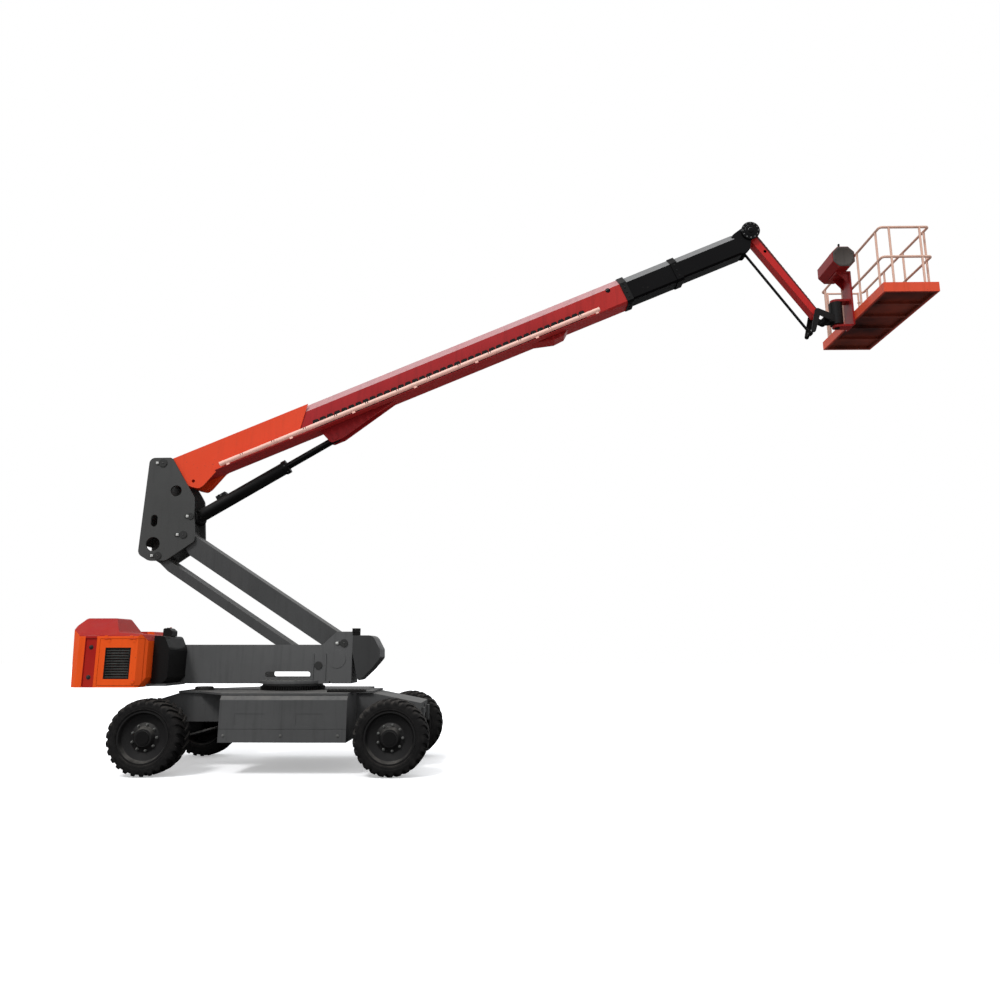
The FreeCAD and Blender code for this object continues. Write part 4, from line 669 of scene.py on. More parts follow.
# %% Tyre with bars
def tyre(name, node, body):
    low, high = (Vector(c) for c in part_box(node))
    centre = (low + high) / 2
    radius, half = (high.z - low.z) / 2, (high.y - low.y) / 2
    rows = [(-a, r) for a, r in CARCASS] + [(a, r) for a, r in reversed(CARCASS[:-1])]
    profile = [(a * half, r * radius) for a, r in rows]
    skin, faces = turned(centre, (0, 1, 0), profile, 96)
    solids = [(skin, faces[:-2])]
    for side in (-1, 1):
        for i in range(BARS):
            start = 2 * math.pi * (i + (0.5 if side > 0 else 0.0)) / BARS
            rings = []
            for across, top, root, width in BAR_STATIONS:
                angle = start + BAR_SLANT * across
                y = centre.y + side * across * half
                ring = []
                for r, w in ((root, 1.25), (top, 0.85), (top, -0.85), (root, -1.25)):
                    a = angle + w * width / r
                    ring.append((centre.x + math.cos(a) * r * radius, y,
                                 centre.z + math.sin(a) * r * radius))
                rings.append(ring)
            solids.append(loft(rings))
    for side in (-1, 1):
        for share in RIBS:
            ring_y = centre.y + side * (half - RIB_INSET)
            solids.append(torus((centre.x, ring_y, centre.z), share * radius, RIB_THICK))
    piece = make(name, solids, RUBBER, body, ease=0.0, smooth=40, slot="tyre_rubber")
    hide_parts(node)
    return piece


WHEELS = [(side, end) for side in ("left", "right") for end in ("steer", "drive")]
for side, end in WHEELS:
    tyre("%s_%s_tread" % (side, end), "%s_%s_tyre" % (side, end), "%s_%s_wheel" % (side, end))
print("tyres made:", len(WHEELS))

# %% [markdown]
# ## Wheel nuts and hub
# The rim's dished disc is held by a ring of nuts round the hub, and the stepped hub cover has its
# own small screws. All four wheels carry the same one, so one function makes them all.

# %% Nuts and hub covers
NUTS, NUT_CIRCLE = 9, 0.172
COVER_SCREWS, COVER_CIRCLE = 6, 0.088


def hub(side, end):
    low, high = (Vector(c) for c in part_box("%s_%s_rim" % (side, end)))
    centre = (low + high) / 2
    way = -1 if side == "left" else 1
    face = low.y if side == "left" else high.y
    axis = (0, way, 0)
    nuts, cover = [], []
    for spot in circle(centre, face - way * 0.068, NUT_CIRCLE, NUTS):
        nuts.append(turned(spot, axis, [(0, 0.02), (0.006, 0.02)], 20))
        nuts.append(turned(spot, axis, [(0.006, 0.016), (0.024, 0.016), (0.027, 0.013)], 6))
        nuts.append(turned(spot, axis, [(0.02, 0.008), (0.036, 0.008), (0.038, 0.006)], 12))
    spot = (centre.x, face - way * 0.02, centre.z)
    steps = [(-0.002, 0.108), (0.006, 0.106), (0.010, 0.09), (0.012, 0.05), (0.018, 0.046)]
    cover.append(turned(spot, axis, steps, 40))
    for spot in circle(centre, face - way * 0.012, COVER_CIRCLE, COVER_SCREWS, 0.5):
        cover += bolt(spot, axis, 0.008, 0.005)
    body = "%s_%s_wheel" % (side, end)
    make("%s_%s_nuts" % (side, end), nuts, MATERIALS["nut_grey"], body, slot="pin_steel")
    make("%s_%s_hub_cover" % (side, end), cover, MATERIALS["rim_dark"], body, slot="rim_grey")


for side, end in WHEELS:
    hub(side, end)

# %% [markdown]
# ## The hose carrier
# Beside the boom lies a plastic link chain that feeds hoses to the moving sections. Each link is
# two side plates joined by cross bars, with a round boss on the outside. They are made one by one
# at an even pitch along the CAD block that stands for the run.

# %% Link chain
CHAIN_PITCH = 0.122


def link_plate(u, y0, y1, low, high):
    """One side plate: round at one end, with a little space before the next plate."""
    middle, half = (low + high) / 2, (high - low) / 2
    ring = []
    for i in range(7):
        a = math.pi / 2 + math.pi * i / 6
        ring.append((u + 0.03 + 0.03 * math.cos(a), middle + half * math.sin(a)))
    ring += [(u + CHAIN_PITCH - 0.03, low), (u + CHAIN_PITCH - 0.012, low + 0.02),
             (u + CHAIN_PITCH - 0.012, high - 0.02), (u + CHAIN_PITCH - 0.03, high)]
    return loft([[(a, y, b) for a, b in ring] for y in (y0, y1)])


def chain():
    low, high = local_box("hose_chain", BOOM)
    count = int((high.x - low.x) / CHAIN_PITCH)
    pitch_room = (high.x - low.x - count * CHAIN_PITCH) / 2
    solids = []
    for i in range(count):
        u = low.x + pitch_room + i * CHAIN_PITCH
        z0, z1 = low.z + 0.002, high.z - 0.004
        for y0, y1 in ((low.y + 0.002, low.y + 0.008), (high.y - 0.008, high.y - 0.002)):
            solids.append(link_plate(u, y0, y1, z0, z1))
        for z in (z0 + 0.012, z1 - 0.012):
            solids.append(block(u + 0.045, u + 0.075, low.y + 0.006, high.y - 0.006, z - 0.006, z + 0.006))
        boss = (u + 0.03, low.y + 0.004, (z0 + z1) / 2 + 0.045)
        solids.append(turned(boss, (0, -1, 0), [(0, 0.018), (0.003, 0.018), (0.0038, 0.014)], 16))
    piece = make("hose_carrier_links", solids, MATERIALS["black_plastic"], "base_boom", BOOM, ease=0.001,
                 slot="grille_black")
    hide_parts("hose_chain")
    print("chain links:", count)


chain()

# %% [markdown]
# ## Bolts on the slew ring
# The turntable is held to its slewing ring by a circle of high-strength bolts. Only those outside
# the two girders are made. Bolt heads are small, but they give the eye the scale.

# %% Slew ring bolts
RING_BOLTS = 28
OUTSIDE_GIRDERS = 0.26  # from the middle of the machine


def ring_bolts():
    low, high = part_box("slew_ring")
    x, y = (low[0] + high[0]) / 2, (low[1] + high[1]) / 2
    plate_top = JOINTS["turntable_slew"]["pos_m"][2] + 0.075
    radius = (high[0] - low[0]) / 2 - 0.03
    heads = []
    for i in range(RING_BOLTS):
        a = 2 * math.pi * (i + 0.5) / RING_BOLTS
        spot = (x + radius * math.cos(a), y + radius * math.sin(a), plate_top)
        if abs(spot[1]) > OUTSIDE_GIRDERS:
            heads += bolt(spot, (0, 0, 1), 0.013, 0.014)
    make("slew_bolts", heads, MATERIALS["nut_grey"], "turntable", slot="pin_steel")


ring_bolts()

# %% [markdown]
# ## Screws round the boom mouth
# Wear pads guide each section in the mouth of the one outside it, and are held by screws through
# the collar, on both sides and from below.

# %% Screws round the tip collar
def collar_screws(name, node, body):
    low, high = local_box(node, BOOM)
    heads = []
    y, top, bottom = high.y, high.z, low.z
    u = (low.x + high.x) / 2
    for side in (-1, 1):
        for share in (0.32, 0.5, 0.68, 0.84):
            z = bottom + share * (top - bottom) - 0.06
            heads += bolt((u, side * y, z), (0, side, 0), 0.011, 0.007)
    for y_part in (-0.5, 0.0, 0.5):
        heads += bolt((u, y_part * y, bottom), (0, 0, -1), 0.011, 0.007)
    make(name, heads, MATERIALS["tank_black"], body, BOOM, slot="pin_steel")


collar_screws("tip_collar_screws", "boom_tip_collar", "base_boom")

# %% [markdown]
# ## Side screws of the tail weight and the side boxes
# The tail weight is bolted on from its flanks, two heads a side, and each side box is held along
# its lower edge.

# %% Side screws
def flank_bolts():
    low, high = (Vector(c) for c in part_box("counterweight"))
    heads = []
    for side in (-1, 1):
        y = side * (high.y - 0.014)
        for z in (low.z + 0.14, low.z + 0.55):
            heads += bolt((high.x - 0.11, y, z), (0, side, 0), 0.02, 0.014)
    make("weight_bolts", heads, MATERIALS["pin_dark"], "turntable", slot="pin_steel")
    low, high = (Vector(c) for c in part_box("side_boxes"))
    heads = []
    for side in (-1, 1):
        for share in (0.04, 0.49, 0.935):
            x = low.x + share * (high.x - low.x)
            heads += bolt((x, side * high.y, low.z + 0.09), (0, side, 0), 0.014, 0.009)
    make("box_bolts", heads, MATERIALS["nut_grey"], "chassis", slot="pin_steel")


flank_bolts()

# %% [markdown]
# ## Pin keepers and grease nipples
# A big pin is stopped from turning by a small bright keeper plate held with a screw, and has a
# grease nipple in its end. Five pins are dressed here, at both ends, and what is added rides on
# the same body as the pin.

# %% Keeper screws and nipples
KEEPER_HALF = 0.019


def pin_dressing(name, body, centres, node, reach):
    low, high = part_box(node)
    solids, keepers = [], []
    for centre in centres:
        for side in (-1, 1):
            face = side * max(abs(low[1]), abs(high[1]))
            nipple = [(-0.001, 0.008), (0.004, 0.008), (0.006, 0.004), (0.012, 0.005), (0.016, 0.003)]
            solids.append(turned((centre.x, face, centre.z), (0, side, 0), nipple, 14))
            x, inner, outer = centre.x - reach, face - side * 0.004, face + side * 0.004
            keepers.append(block(x - KEEPER_HALF, x + KEEPER_HALF, min(inner, outer), max(inner, outer),
                                 centre.z - KEEPER_HALF, centre.z + KEEPER_HALF))
            keepers += bolt((x, outer, centre.z), (0, side, 0), 0.008, 0.005)
    make(name + "_nipples", solids, MATERIALS["nut_grey"], body, slot="pin_steel")
    make(name, keepers, MATERIALS["bright_zinc"], body, slot="pin_steel")


LOWER_PIN, UPPER_PIN = pin("riser_lift"), pin("upright_level")
LOWER_STEP = pin("lower_riser_pivot") - LOWER_PIN
pin_dressing("base_pin_screws", "turntable", [LOWER_PIN], "riser_base_pins", 0.105)
pin_dressing("upright_pin_screws", "upright", [UPPER_PIN, UPPER_PIN + LOWER_STEP, pin("boom_lift")],
             "upright_pins", 0.09)
pin_dressing("cylinder_pin_screws", "upright", [pin("lift_cylinder_pivot")], "upright_pins", 0.05)

# %% [markdown]
# ## Weld beads
# Where the cylinder's bracket is welded under the boom, a rippled bead runs along the joint. Each
# bead is a row of short overlapping scales, a little uneven, as a welder lays them.

# %% Weld beads
BEAD_SIZE, BEAD_STEP = 0.006, 0.007


def bead(start, end):
    start, end = Vector(start), Vector(end)
    count = max(2, int((end - start).length / BEAD_STEP))
    direction = (end - start).normalized()
    solids = []
    for i in range(count):
        centre = start + (end - start) * (i / count)
        swell = BEAD_SIZE * random.uniform(0.88, 1.1)
        scale = [(0, swell * 0.6), (BEAD_STEP * 0.45, swell), (BEAD_STEP * 1.2, swell * 0.55)]
        solids.append(turned(centre, direction, scale, 8))
    return solids


def boom_welds():
    low, high = local_box("cylinder_bracket", BOOM)
    underside = max(BOOM_LOW.z, BOOM_HIGH.z - 0.46)
    beads = []
    for side in (-1, 1):
        y = side * (high.y - 0.012)
        beads += bead((low.x + 0.02, y, underside), (high.x - 0.03, y, underside))
    make("bracket_weld", beads, MATERIALS["boom_red"], "base_boom", BOOM, ease=0.0, slot="boom_red")


boom_welds()

# %% [markdown]
# ## The front collar of the middle section
# The middle section has its own collar at the mouth, with three pad screws a side. Its half width
# is measured from the points near the mouth, because the collar is part of the same node.

# %% Screws on the middle collar
def middle_screws():
    high = local_box("mid_boom", BOOM)[1]
    points = [BOOM.inverted() @ v.co for v in NODES["mid_boom"].data.vertices]
    collar_y = max(abs(p.y) for p in points if p.x > high.x - 0.1)
    heads = []
    for side in (-1, 1):
        for z in (high.z - 0.16, high.z - 0.26, high.z - 0.36):
            heads += bolt((high.x - 0.057, side * collar_y, z), (0, side, 0), 0.01, 0.006)
    make("middle_collar_screws", heads, MATERIALS["tank_black"], "mid_boom", BOOM, slot="pin_steel")


middle_screws()

# %% [markdown]
# ## Jib knuckle
# The round covers at the head of the boom are read as the ends of a rotary actuator. They are
# bolted on with a ring of screws and carry a raised centre cap.

# %% Cover screws on the jib pin
SCREWS_A_COVER = 12


def knuckle_covers():
    low, high = (Vector(c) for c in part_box("jib_pin"))
    centre, radius = pin("jib_lift"), (high.z - low.z) / 2
    screws, caps = [], []
    for side in (-1, 1):
        face = side * high.y
        for spot in circle(centre, face - side * 0.001, 0.84 * radius, SCREWS_A_COVER):
            screws += bolt(spot, (0, side, 0), 0.008, 0.007)
        steps = [(-0.002, radius * 0.62), (0.004, radius * 0.6), (0.005, radius * 0.3),
                 (0.012, radius * 0.27), (0.014, radius * 0.2)]
        caps.append(turned((centre.x, face, centre.z), (0, side, 0), steps, 40))
    make("knuckle_screws", screws, MATERIALS["nut_grey"], "jib", slot="pin_steel")
    make("knuckle_caps", caps, MATERIALS["boom_black"], "jib", slot="boom_black")


knuckle_covers()

# %% [markdown]
# ## Hose guard on the jib
# A black carrier runs along the upper edge of the jib and takes the platform's hoses over the
# knuckle. It is built of the same sort of links as the chain on the boom, only smaller. It is kept
# low, because the control box comes down close over it when the arms are folded.

# %% Jib carrier
ARM_TOP_START, ARM_TOP_END = 0.073, 0.056  # the tapered arm's upper face at its two pins
JIB_PITCH, LINK_HEIGHT = 0.075, 0.018
LINK_OUT, LINK_IN = 0.062, 0.056  # the two faces of a side plate, from the jib's middle


def jib_carrier():
    length = (pin("jib_head_level") - pin("jib_lift")).length
    start, end = 0.2, length - 0.16
    count = int((end - start) / JIB_PITCH)
    solids = []
    for i in range(count):
        u = start + i * JIB_PITCH
        base = ARM_TOP_START + (ARM_TOP_END - ARM_TOP_START) * (u / length)
        z0, z1 = base - 0.002, base + LINK_HEIGHT
        for y0, y1 in ((-LINK_OUT, -LINK_IN), (LINK_IN, LINK_OUT)):
            ring = [(u, z0), (u + JIB_PITCH - 0.006, z0), (u + JIB_PITCH - 0.004, z1 - 0.012),
                    (u + JIB_PITCH - 0.014, z1), (u + 0.008, z1), (u, z1 - 0.01)]
            solids.append(loft([[(a, y, b) for a, b in ring] for y in (y0, y1)]))
        solids.append(block(u + 0.02, u + 0.042, -0.058, 0.058, z1 - 0.012, z1 - 0.004))
        solids.append(block(u + 0.02, u + 0.042, -0.058, 0.058, z0, z0 + 0.006))
    make("jib_carrier_links", solids, MATERIALS["black_plastic"], "jib", JIB, ease=0.0008,
         slot="grille_black")
    print("jib links:", count)


jib_carrier()

# %% [markdown]
# ## Lift cylinder fittings
# The holding valve on the barrel has pipe fittings screwed into it, and the gland at the mouth is
# held by a ring of screws. They move with the barrel.

# %% Cylinder fittings
def cylinder_fittings():
    mouth = local_box("lift_cylinder_barrel", CYLINDER)[1].x
    valve_top = 0.145
    union = [(-0.002, 0.02), (0.008, 0.02), (0.01, 0.014), (0.024, 0.014)]
    plug = [(-0.002, 0.016), (0.014, 0.016), (0.016, 0.01)]
    side_plug = [(-0.002, 0.015), (0.012, 0.015), (0.014, 0.008)]
    solids = [turned((0.47, 0, valve_top), (0, 0, 1), union, 6)]
    solids.append(turned((0.55, 0, valve_top), (0, 0, 1), plug, 18))
    for side in (-1, 1):
        solids.append(turned((0.515, side * 0.06, 0.115), (0, side, 0), side_plug, 6))
    make("valve_fittings", solids, MATERIALS["nut_grey"], "cylinder_barrel", CYLINDER, slot="pin_steel")
    screws = []
    for i in range(6):
        a = 2 * math.pi * i / 6
        out = (0, math.cos(a), math.sin(a))
        y, z = 0.108 * math.cos(a), 0.108 * math.sin(a)
        screws.append(turned((mouth - 0.045, y, z), out, [(0, 0.01), (0.008, 0.01), (0.0085, 0.007)], 14))
    make("gland_screws", screws, MATERIALS["nut_grey"], "cylinder_barrel", CYLINDER, slot="pin_steel")


cylinder_fittings()

# %% [markdown]
# ## Boom pipe clips
# The pale pipe beside the boom is held to its tray by half-round clips, in pairs at even steps.
# Each is a bent strip: an outer and an inner half circle joined into one skin.

# %% Pipe clips
CLIP_STEP, CLIP_PAIR, CLIP_WIDTH = 0.53, 0.034, 0.012


def pipe_clips():
    low, high = local_box("hose_tube", BOOM)
    radius = (high.y - low.y) / 2
    y, z = (low.y + high.y) / 2, high.z - radius
    solids = []
    u = low.x + 0.35
    while u < high.x - 0.2:
        for shift in (0.0, CLIP_PAIR):
            rings = []
            for edge in (0.0, CLIP_WIDTH):
                ring = []
                for r, steps in ((radius + 0.0005, range(13)), (radius - 0.003, range(12, -1, -1))):
                    for i in steps:
                        a = math.pi * i / 12
                        ring.append((u + shift + edge, y + r * math.cos(a), z + r * math.sin(a)))
                rings.append(ring)
            solids.append(loft(rings))
        u += CLIP_STEP
    make("pipe_clips", solids, MATERIALS["black_plastic"], "base_boom", BOOM, ease=0.0, slot="grille_black")


pipe_clips()

# %% [markdown]
# ## Platform controls
# The driver stands at a box with cut corners. A black panel lies along its top, and a stepped
# plate with a circle of screws closes each end. All plates are blank. The end plates follow the
# box's own outline, drawn smaller, so they fit whatever its size.

# %% Console details
CUT, CUT_ON_WIDTH = 0.095, 0.364  # the corner cut, and the width of box that it belongs to
END_STEPS = [(0.95, -0.002), (0.95, 0.006), (0.91, 0.009), (0.8, 0.009), (0.77, 0.006)]
END_SCREWS, END_CIRCLE = 8, 0.145


def console():
    low, high = (Vector(c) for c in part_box("control_console"))
    top = high.z
    width = high.x - low.x
    mid_x = (low.x + high.x) / 2
    plate = [block(mid_x - 0.075, mid_x + 0.075, low.y + 0.05, high.y - 0.05, top - 0.004, top - 0.0005)]
    for s in (-1, 1):
        x = mid_x + s * 0.078
        plate.append(block(x - 0.004, x + 0.004, low.y + 0.04, high.y - 0.04, top - 0.004, top - 0.0002))
    make("console_plate", plate, MATERIALS["black_plastic"], "platform", slot="platform_red")
    ends = []
    inset = CUT * width / CUT_ON_WIDTH
    corners = [(low.x + inset, low.z), (high.x - inset, low.z), (high.x, low.z + inset),
               (high.x, high.z - inset), (high.x - inset, high.z), (low.x + inset, high.z),
               (low.x, high.z - inset), (low.x, low.z + inset)]
    middle = Vector((mid_x, 0, (low.z + high.z) / 2))
    for y, way in ((low.y, -1), (high.y, 1)):
        rings = []
        for share, out in END_STEPS:
            rings.append([(middle.x + (a - middle.x) * share, y + way * out,
                           middle.z + (b - middle.z) * share) for a, b in corners])
        ends.append(loft(rings))
        for spot in circle(middle, y + way * 0.008, END_CIRCLE, END_SCREWS, 0.5):
            ends.append(turned(spot, (0, way, 0), [(0, 0.008), (0.004, 0.0075), (0.005, 0.005)], 14))
    make("console_ends", ends, MATERIALS["console_slate"], "platform", ease=0.0, slot="platform_red")


console()

# %% [markdown]
# ## Joysticks, switches and stop button
# A joystick is turned in one go: a wide boot, a thin stick and a knob. The rocker switches are
# small blocks in a row, and a red mushroom button stops everything.

# %% Controls
STICK = [(0, 0.03), (0.006, 0.03), (0.012, 0.02), (0.03, 0.008), (0.07, 0.007), (0.078, 0.016),
         (0.11, 0.018), (0.12, 0.01)]
ROCKERS, ROCKER_PITCH = 7, 0.026


def controls():
    low, high = (Vector(c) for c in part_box("control_console"))
    deck = high.z - 0.0005
    x = (low.x + high.x) / 2
    black, red = [], []
    for y in (low.y + 0.14, high.y - 0.14):
        black.append(turned((x, y, deck), (0, 0, 1), STICK, 24))
    for i in range(ROCKERS):
        y = low.y + 0.24 + i * ROCKER_PITCH
        black.append(block(x - 0.014, x + 0.014, y, y + 0.018, deck, deck + 0.009))
    red.append(turned((x + 0.04, (low.y + high.y) / 2 + 0.1, deck), (0, 0, 1),
                      [(0, 0.012), (0.012, 0.012), (0.014, 0.024), (0.022, 0.024), (0.027, 0.016)], 28))
    make("joysticks", black, MATERIALS["black_plastic"], "platform", slot="grille_black")
    make("stop_button", red, MATERIALS["stop_red"], "platform", slot="platform_red")


controls()

# %% [markdown]
# ## Feet of the rail posts
# Each post stands in a small welded foot. The posts are found in the rails' own mesh: points at
# the floor that lie close together belong to one post, and its foot goes round their middle.

# %% Post feet
FOOT_REACH = 0.06  # points closer than this belong to one post
FOOT = [(0, 0.027), (0.012, 0.027), (0.016, 0.02), (0.05, 0.0195), (0.052, 0.0172)]


def rail_feet():
    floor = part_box("platform_rails")[0][2]
    groups = []
    for v in NODES["platform_rails"].data.vertices:
        if v.co.z > floor + 0.01:
            continue
        for g in groups:
            if (Vector(g[0]).xy - v.co.xy).length < FOOT_REACH:
                g.append(tuple(v.co))
                break
        else:
            groups.append([tuple(v.co)])
    solids = []
    for g in groups:
        x = (min(p[0] for p in g) + max(p[0] for p in g)) / 2
        y = (min(p[1] for p in g) + max(p[1] for p in g)) / 2
        solids.append(turned((x, y, floor), (0, 0, 1), FOOT, 20))
    make("post_feet", solids, MATERIALS["rail_peach"], "platform", slot="rail_paint")
    print("rail posts:", len(groups))


rail_feet()

# %% [markdown]
# ## Door latches
# Each hood door is held shut by a round flush latch near its lower edge. It rides on the door's
# own body, so it lifts with the door.

# %% Latches
LATCH = [(-0.004, 0.03), (0.003, 0.03), (0.004, 0.022), (0.0065, 0.02)]


def door_latches():
    for side, way in (("left", -1), ("right", 1)):
        low, high = (Vector(c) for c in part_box("%s_hood_door" % side))
        face = low.y if way < 0 else high.y
        spot = ((low.x + high.x) / 2 + 0.2, way * (abs(face) - 0.007), low.z + 0.045)
        make("%s_door_latch" % side, [turned(spot, (0, way, 0), LATCH, 28)],
             MATERIALS["bodywork_orange"], "%s_hood_door" % side, slot="bodywork_orange")


door_latches()

# %% [markdown]
# ## Controls at the ground
# The control box on the turntable has a blank black panel, four small switches and a stop button,
# so that the boom can be brought down from the ground.

# %% Ground controls
GROUND_SWITCHES = 4
SWITCH = [(-0.001, 0.008), (0.006, 0.008), (0.008, 0.005)]
STOP = [(-0.001, 0.01), (0.008, 0.01), (0.01, 0.016), (0.016, 0.015)]


def ground_controls():
    low, high = (Vector(c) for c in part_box("ground_control_box"))
    x0, x1, panel_top = low.x + 0.015, low.x + 0.075, high.z + 0.003
    panel = [block(x0, x1, low.y + 0.015, high.y - 0.015, high.z - 0.002, panel_top)]
    switches = [turned((x0 + 0.03, low.y + 0.035 + i * 0.03, panel_top), (0, 0, 1), SWITCH, 14)
                for i in range(GROUND_SWITCHES)]
    stop = [turned((x0 + 0.03, high.y - 0.03, panel_top), (0, 0, 1), STOP, 20)]
    make("ground_key_panel", panel, MATERIALS["black_plastic"], "turntable", slot="grille_black")
    make("ground_switches", switches, MATERIALS["nut_grey"], "turntable", slot="pin_steel")
    make("ground_stop", stop, MATERIALS["stop_red"], "turntable", slot="bodywork_orange")


ground_controls()

# %% [markdown]
# ## Caps on the tank and the deck
# The hydraulic tank has a filler cap, and a wide low cap sits on the deck. Both are round, so one
# turned profile makes each.

# %% Filler cap and deck cap
FILLER = [(-0.02, 0.045), (0.02, 0.045), (0.028, 0.05), (0.045, 0.05), (0.05, 0.044)]
DECK_CAP = [(-0.002, 0.15), (0.012, 0.15), (0.016, 0.135), (0.04, 0.13), (0.05, 0.118), (0.052, 0.05)]
DECK_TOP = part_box("deck_plate")[1][2]
SLEW = JOINTS["turntable_slew"]["pos_m"]


def caps():
    low, high = (Vector(c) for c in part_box("hydraulic_tank"))
    filler = turned((low.x + 0.07, low.y + 0.42, high.z - 0.004), (0, 0, 1), FILLER, 32)
    make("filler_cap", [filler], MATERIALS["black_plastic"], "turntable", slot="tank_black")
    deck_cap = turned((SLEW[0] - 1.28, -0.2, DECK_TOP), (0, 0, 1), DECK_CAP, 48)
    make("deck_hose_cap", [deck_cap], MATERIALS["tank_black"], "chassis", slot="chassis_grey")


caps()

# %% [markdown]
# ## Step pad
# A ribbed pad gives a foothold on the deck. It is one block with narrow ribs laid across it.

# %% Step pad on the deck
PAD_LENGTH, PAD_WIDTH, PAD_RIBS, RIB_PITCH = 0.52, 0.22, 10, 0.05


def step_pad():
    x0, y0 = SLEW[0] + 0.72, -0.86
    pad = [block(x0, x0 + PAD_LENGTH, y0, y0 + PAD_WIDTH, DECK_TOP - 0.002, DECK_TOP + 0.03)]
    for i in range(PAD_RIBS):
        pad.append(block(x0 + 0.02 + RIB_PITCH * i, x0 + 0.045 + RIB_PITCH * i, y0 + 0.015, y0 + 0.205,
                         DECK_TOP + 0.029, DECK_TOP + 0.036))
    make("step_pad", pad, MATERIALS["black_plastic"], "chassis", slot="chassis_grey")


step_pad()

# %% [markdown]
# ## Switch box on the nose
# A small moulded case with two screws stands on one edge of the turntable's nose. Its wide bevel
# gives it the soft corners of moulded plastic.

# %% Nose switch box
CASE_NEAR, CASE_FAR = -0.236, -0.15  # its two sides, across the machine


def nose_box():
    low, high = (Vector(c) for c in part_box("turntable_nose"))
    x0, top = low.x - 0.01, high.z
    case = [block(x0, x0 + 0.11, CASE_NEAR, CASE_FAR, top - 0.004, top + 0.105)]
    for along in (0.03, 0.08):
        case += bolt((x0 + along, CASE_NEAR, top + 0.05), (0, -1, 0), 0.008, 0.004)
    make("nose_switch_box", case, MATERIALS["black_plastic"], "turntable", ease=0.006, slot="tank_black")


nose_box()

# %% [markdown]
# ## Floor
# The floor is white to the eye but grey to the machine, or it would throw light up under the boom
# and flatten its shadows. A little glow of its own carries it into the white background.

# %% Floor
def is_camera_ray(tree):
    return tree.nodes.new("ShaderNodeLightPath").outputs["Is Camera Ray"]


def stage():
    """White to the eye, but grey to the machine, so that it throws little light up under the boom."""
    bpy.ops.mesh.primitive_plane_add(size=160, location=(0, 0, -0.002))
    floor = bpy.context.object
    floor.name = "floor"
    material = bpy.data.materials.new("floor_white")
    material.use_nodes = True
    tree = material.node_tree
    tree.nodes.clear()
    place = tree.nodes.new("ShaderNodeTexCoord").outputs["Object"]
    speck = remap(tree, noise(tree, place, 0.4, 3.0, 0.5), 0.3, 0.7)
    pale = mix_colour(tree, speck, linear(243, 243, 244), linear(249, 249, 250))
    grey = mix_colour(tree, speck, linear(150, 150, 150), linear(156, 156, 156))
    diffuse = tree.nodes.new("ShaderNodeBsdfDiffuse")
    seen = is_camera_ray(tree)
    mirrored = tree.nodes.new("ShaderNodeLightPath").outputs["Is Glossy Ray"]
    unseen = mix_colour(tree, mirrored, grey, linear(48, 48, 48))
    link(tree, mix_colour(tree, seen, unseen, pale), diffuse.inputs["Color"])
    lift = tree.nodes.new("ShaderNodeEmission")
    link(tree, scaled(tree, seen, 0.38), lift.inputs["Strength"])
    both = tree.nodes.new("ShaderNodeAddShader")
    link(tree, diffuse.outputs[0], both.inputs[0])
    link(tree, lift.outputs[0], both.inputs[1])
    out = tree.nodes.new("ShaderNodeOutputMaterial")
    link(tree, both.outputs[0], out.inputs["Surface"])
    floor.data.materials.append(material)
    print("floor laid at", round(floor.location.z, 4))


stage()

# %% [markdown]
# ## Light
# A sky alone gives soft shade but little form, so one wide sun is added high on the left. The sky
# is brighter above than at the horizon, and plain white where the camera looks past the machine.

# %% Light
SUN_STRENGTH, SUN_WIDTH = 1.7, math.radians(14)
SUN_WAY = Vector((0.42, 0.85, -1.15))  # the way the light travels


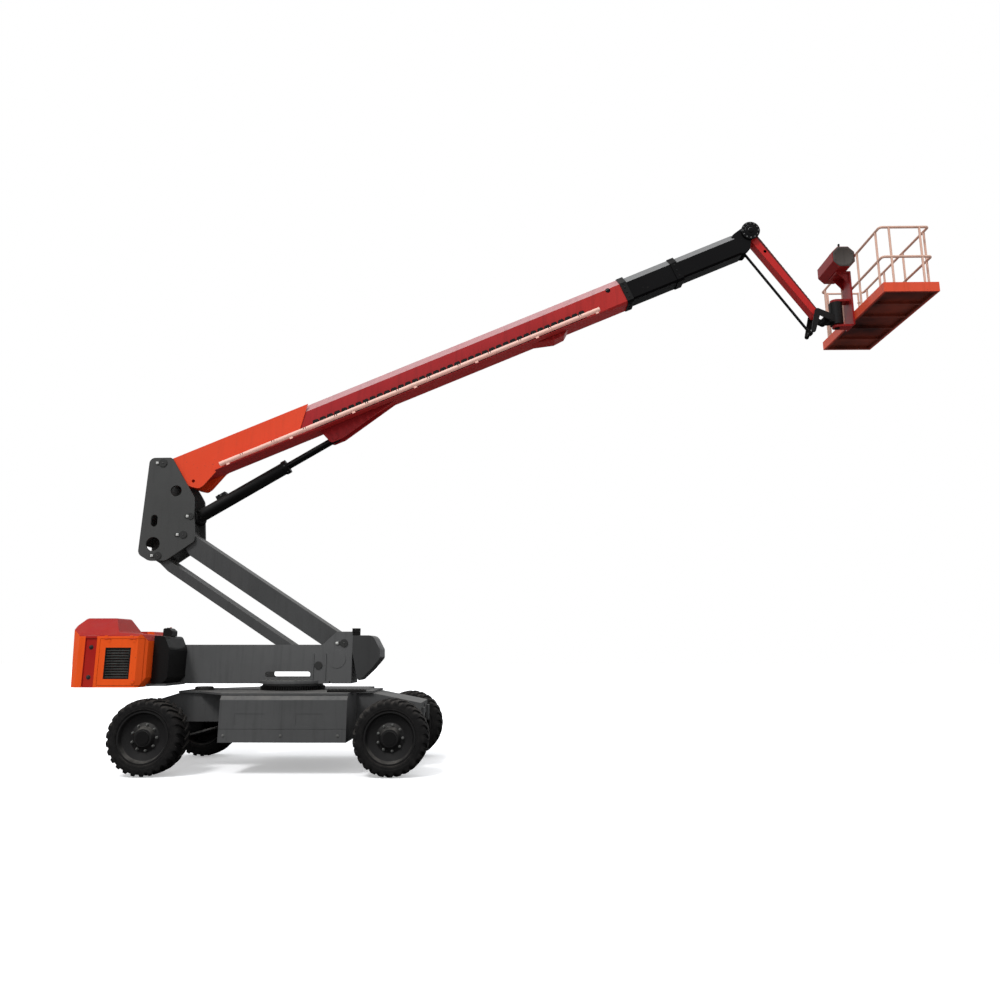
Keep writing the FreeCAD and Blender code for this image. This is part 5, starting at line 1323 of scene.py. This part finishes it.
def light():
    """A sky that is bright above and dim at the horizon, with one large lamp high on the left."""
    world = bpy.data.worlds.new("studio")
    bpy.context.scene.world = world
    world.use_nodes = True
    tree = world.node_tree
    tree.nodes.clear()
    out = tree.nodes.new("ShaderNodeOutputWorld")
    split = tree.nodes.new("ShaderNodeSeparateXYZ")
    link(tree, tree.nodes.new("ShaderNodeTexCoord").outputs["Generated"], split.inputs[0])
    soft = tree.nodes.new("ShaderNodeBackground")
    soft.inputs["Color"].default_value = (0.96, 0.98, 1.0, 1.0)
    link(tree, remap(tree, split.outputs["Z"], 0.0, 0.9, 0.5, 1.05), soft.inputs["Strength"])
    white = tree.nodes.new("ShaderNodeBackground")
    white.inputs["Color"].default_value = (1.0, 1.0, 1.0, 1.0)
    pick = tree.nodes.new("ShaderNodeMixShader")
    link(tree, is_camera_ray(tree), pick.inputs[0])
    link(tree, soft.outputs[0], pick.inputs[1])
    link(tree, white.outputs[0], pick.inputs[2])
    link(tree, pick.outputs[0], out.inputs[0])
    sun = bpy.data.lights.new("key", "SUN")
    sun.energy = SUN_STRENGTH
    sun.angle = SUN_WIDTH
    lamp = bpy.data.objects.new("key", sun)
    lamp.rotation_euler = SUN_WAY.to_track_quat("-Z", "Y").to_euler()
    bpy.context.scene.collection.objects.link(lamp)
    print("sun strength", SUN_STRENGTH)


light()

# %% [markdown]
# ## Camera
# The camera stands beside the machine at a person's eye height and looks up at the boom through a
# fairly wide lens. Its place is taken from the slewing centre, so it stays with the machine.

# %% Camera
SENSOR, LENS = 36.0, 27.8
ALONG, AWAY, EYE_HEIGHT = 3.338, 12.051, 1.6855
LOOK_UP, LOOK_ASIDE = 0.192, 0.0152


def camera():
    data = bpy.data.cameras.new("camera")
    data.sensor_width = SENSOR
    data.lens = LENS
    eye = bpy.data.objects.new("camera", data)
    eye.location = (SLEW[0] + ALONG, SLEW[1] - AWAY, EYE_HEIGHT)
    eye.rotation_euler = (math.pi / 2 + LOOK_UP, 0.0, LOOK_ASIDE)
    bpy.context.scene.collection.objects.link(eye)
    bpy.context.scene.camera = eye
    bpy.context.scene.view_settings.view_transform = "Standard"
    print("camera at", [round(v, 3) for v in eye.location], "lens", LENS)


camera()
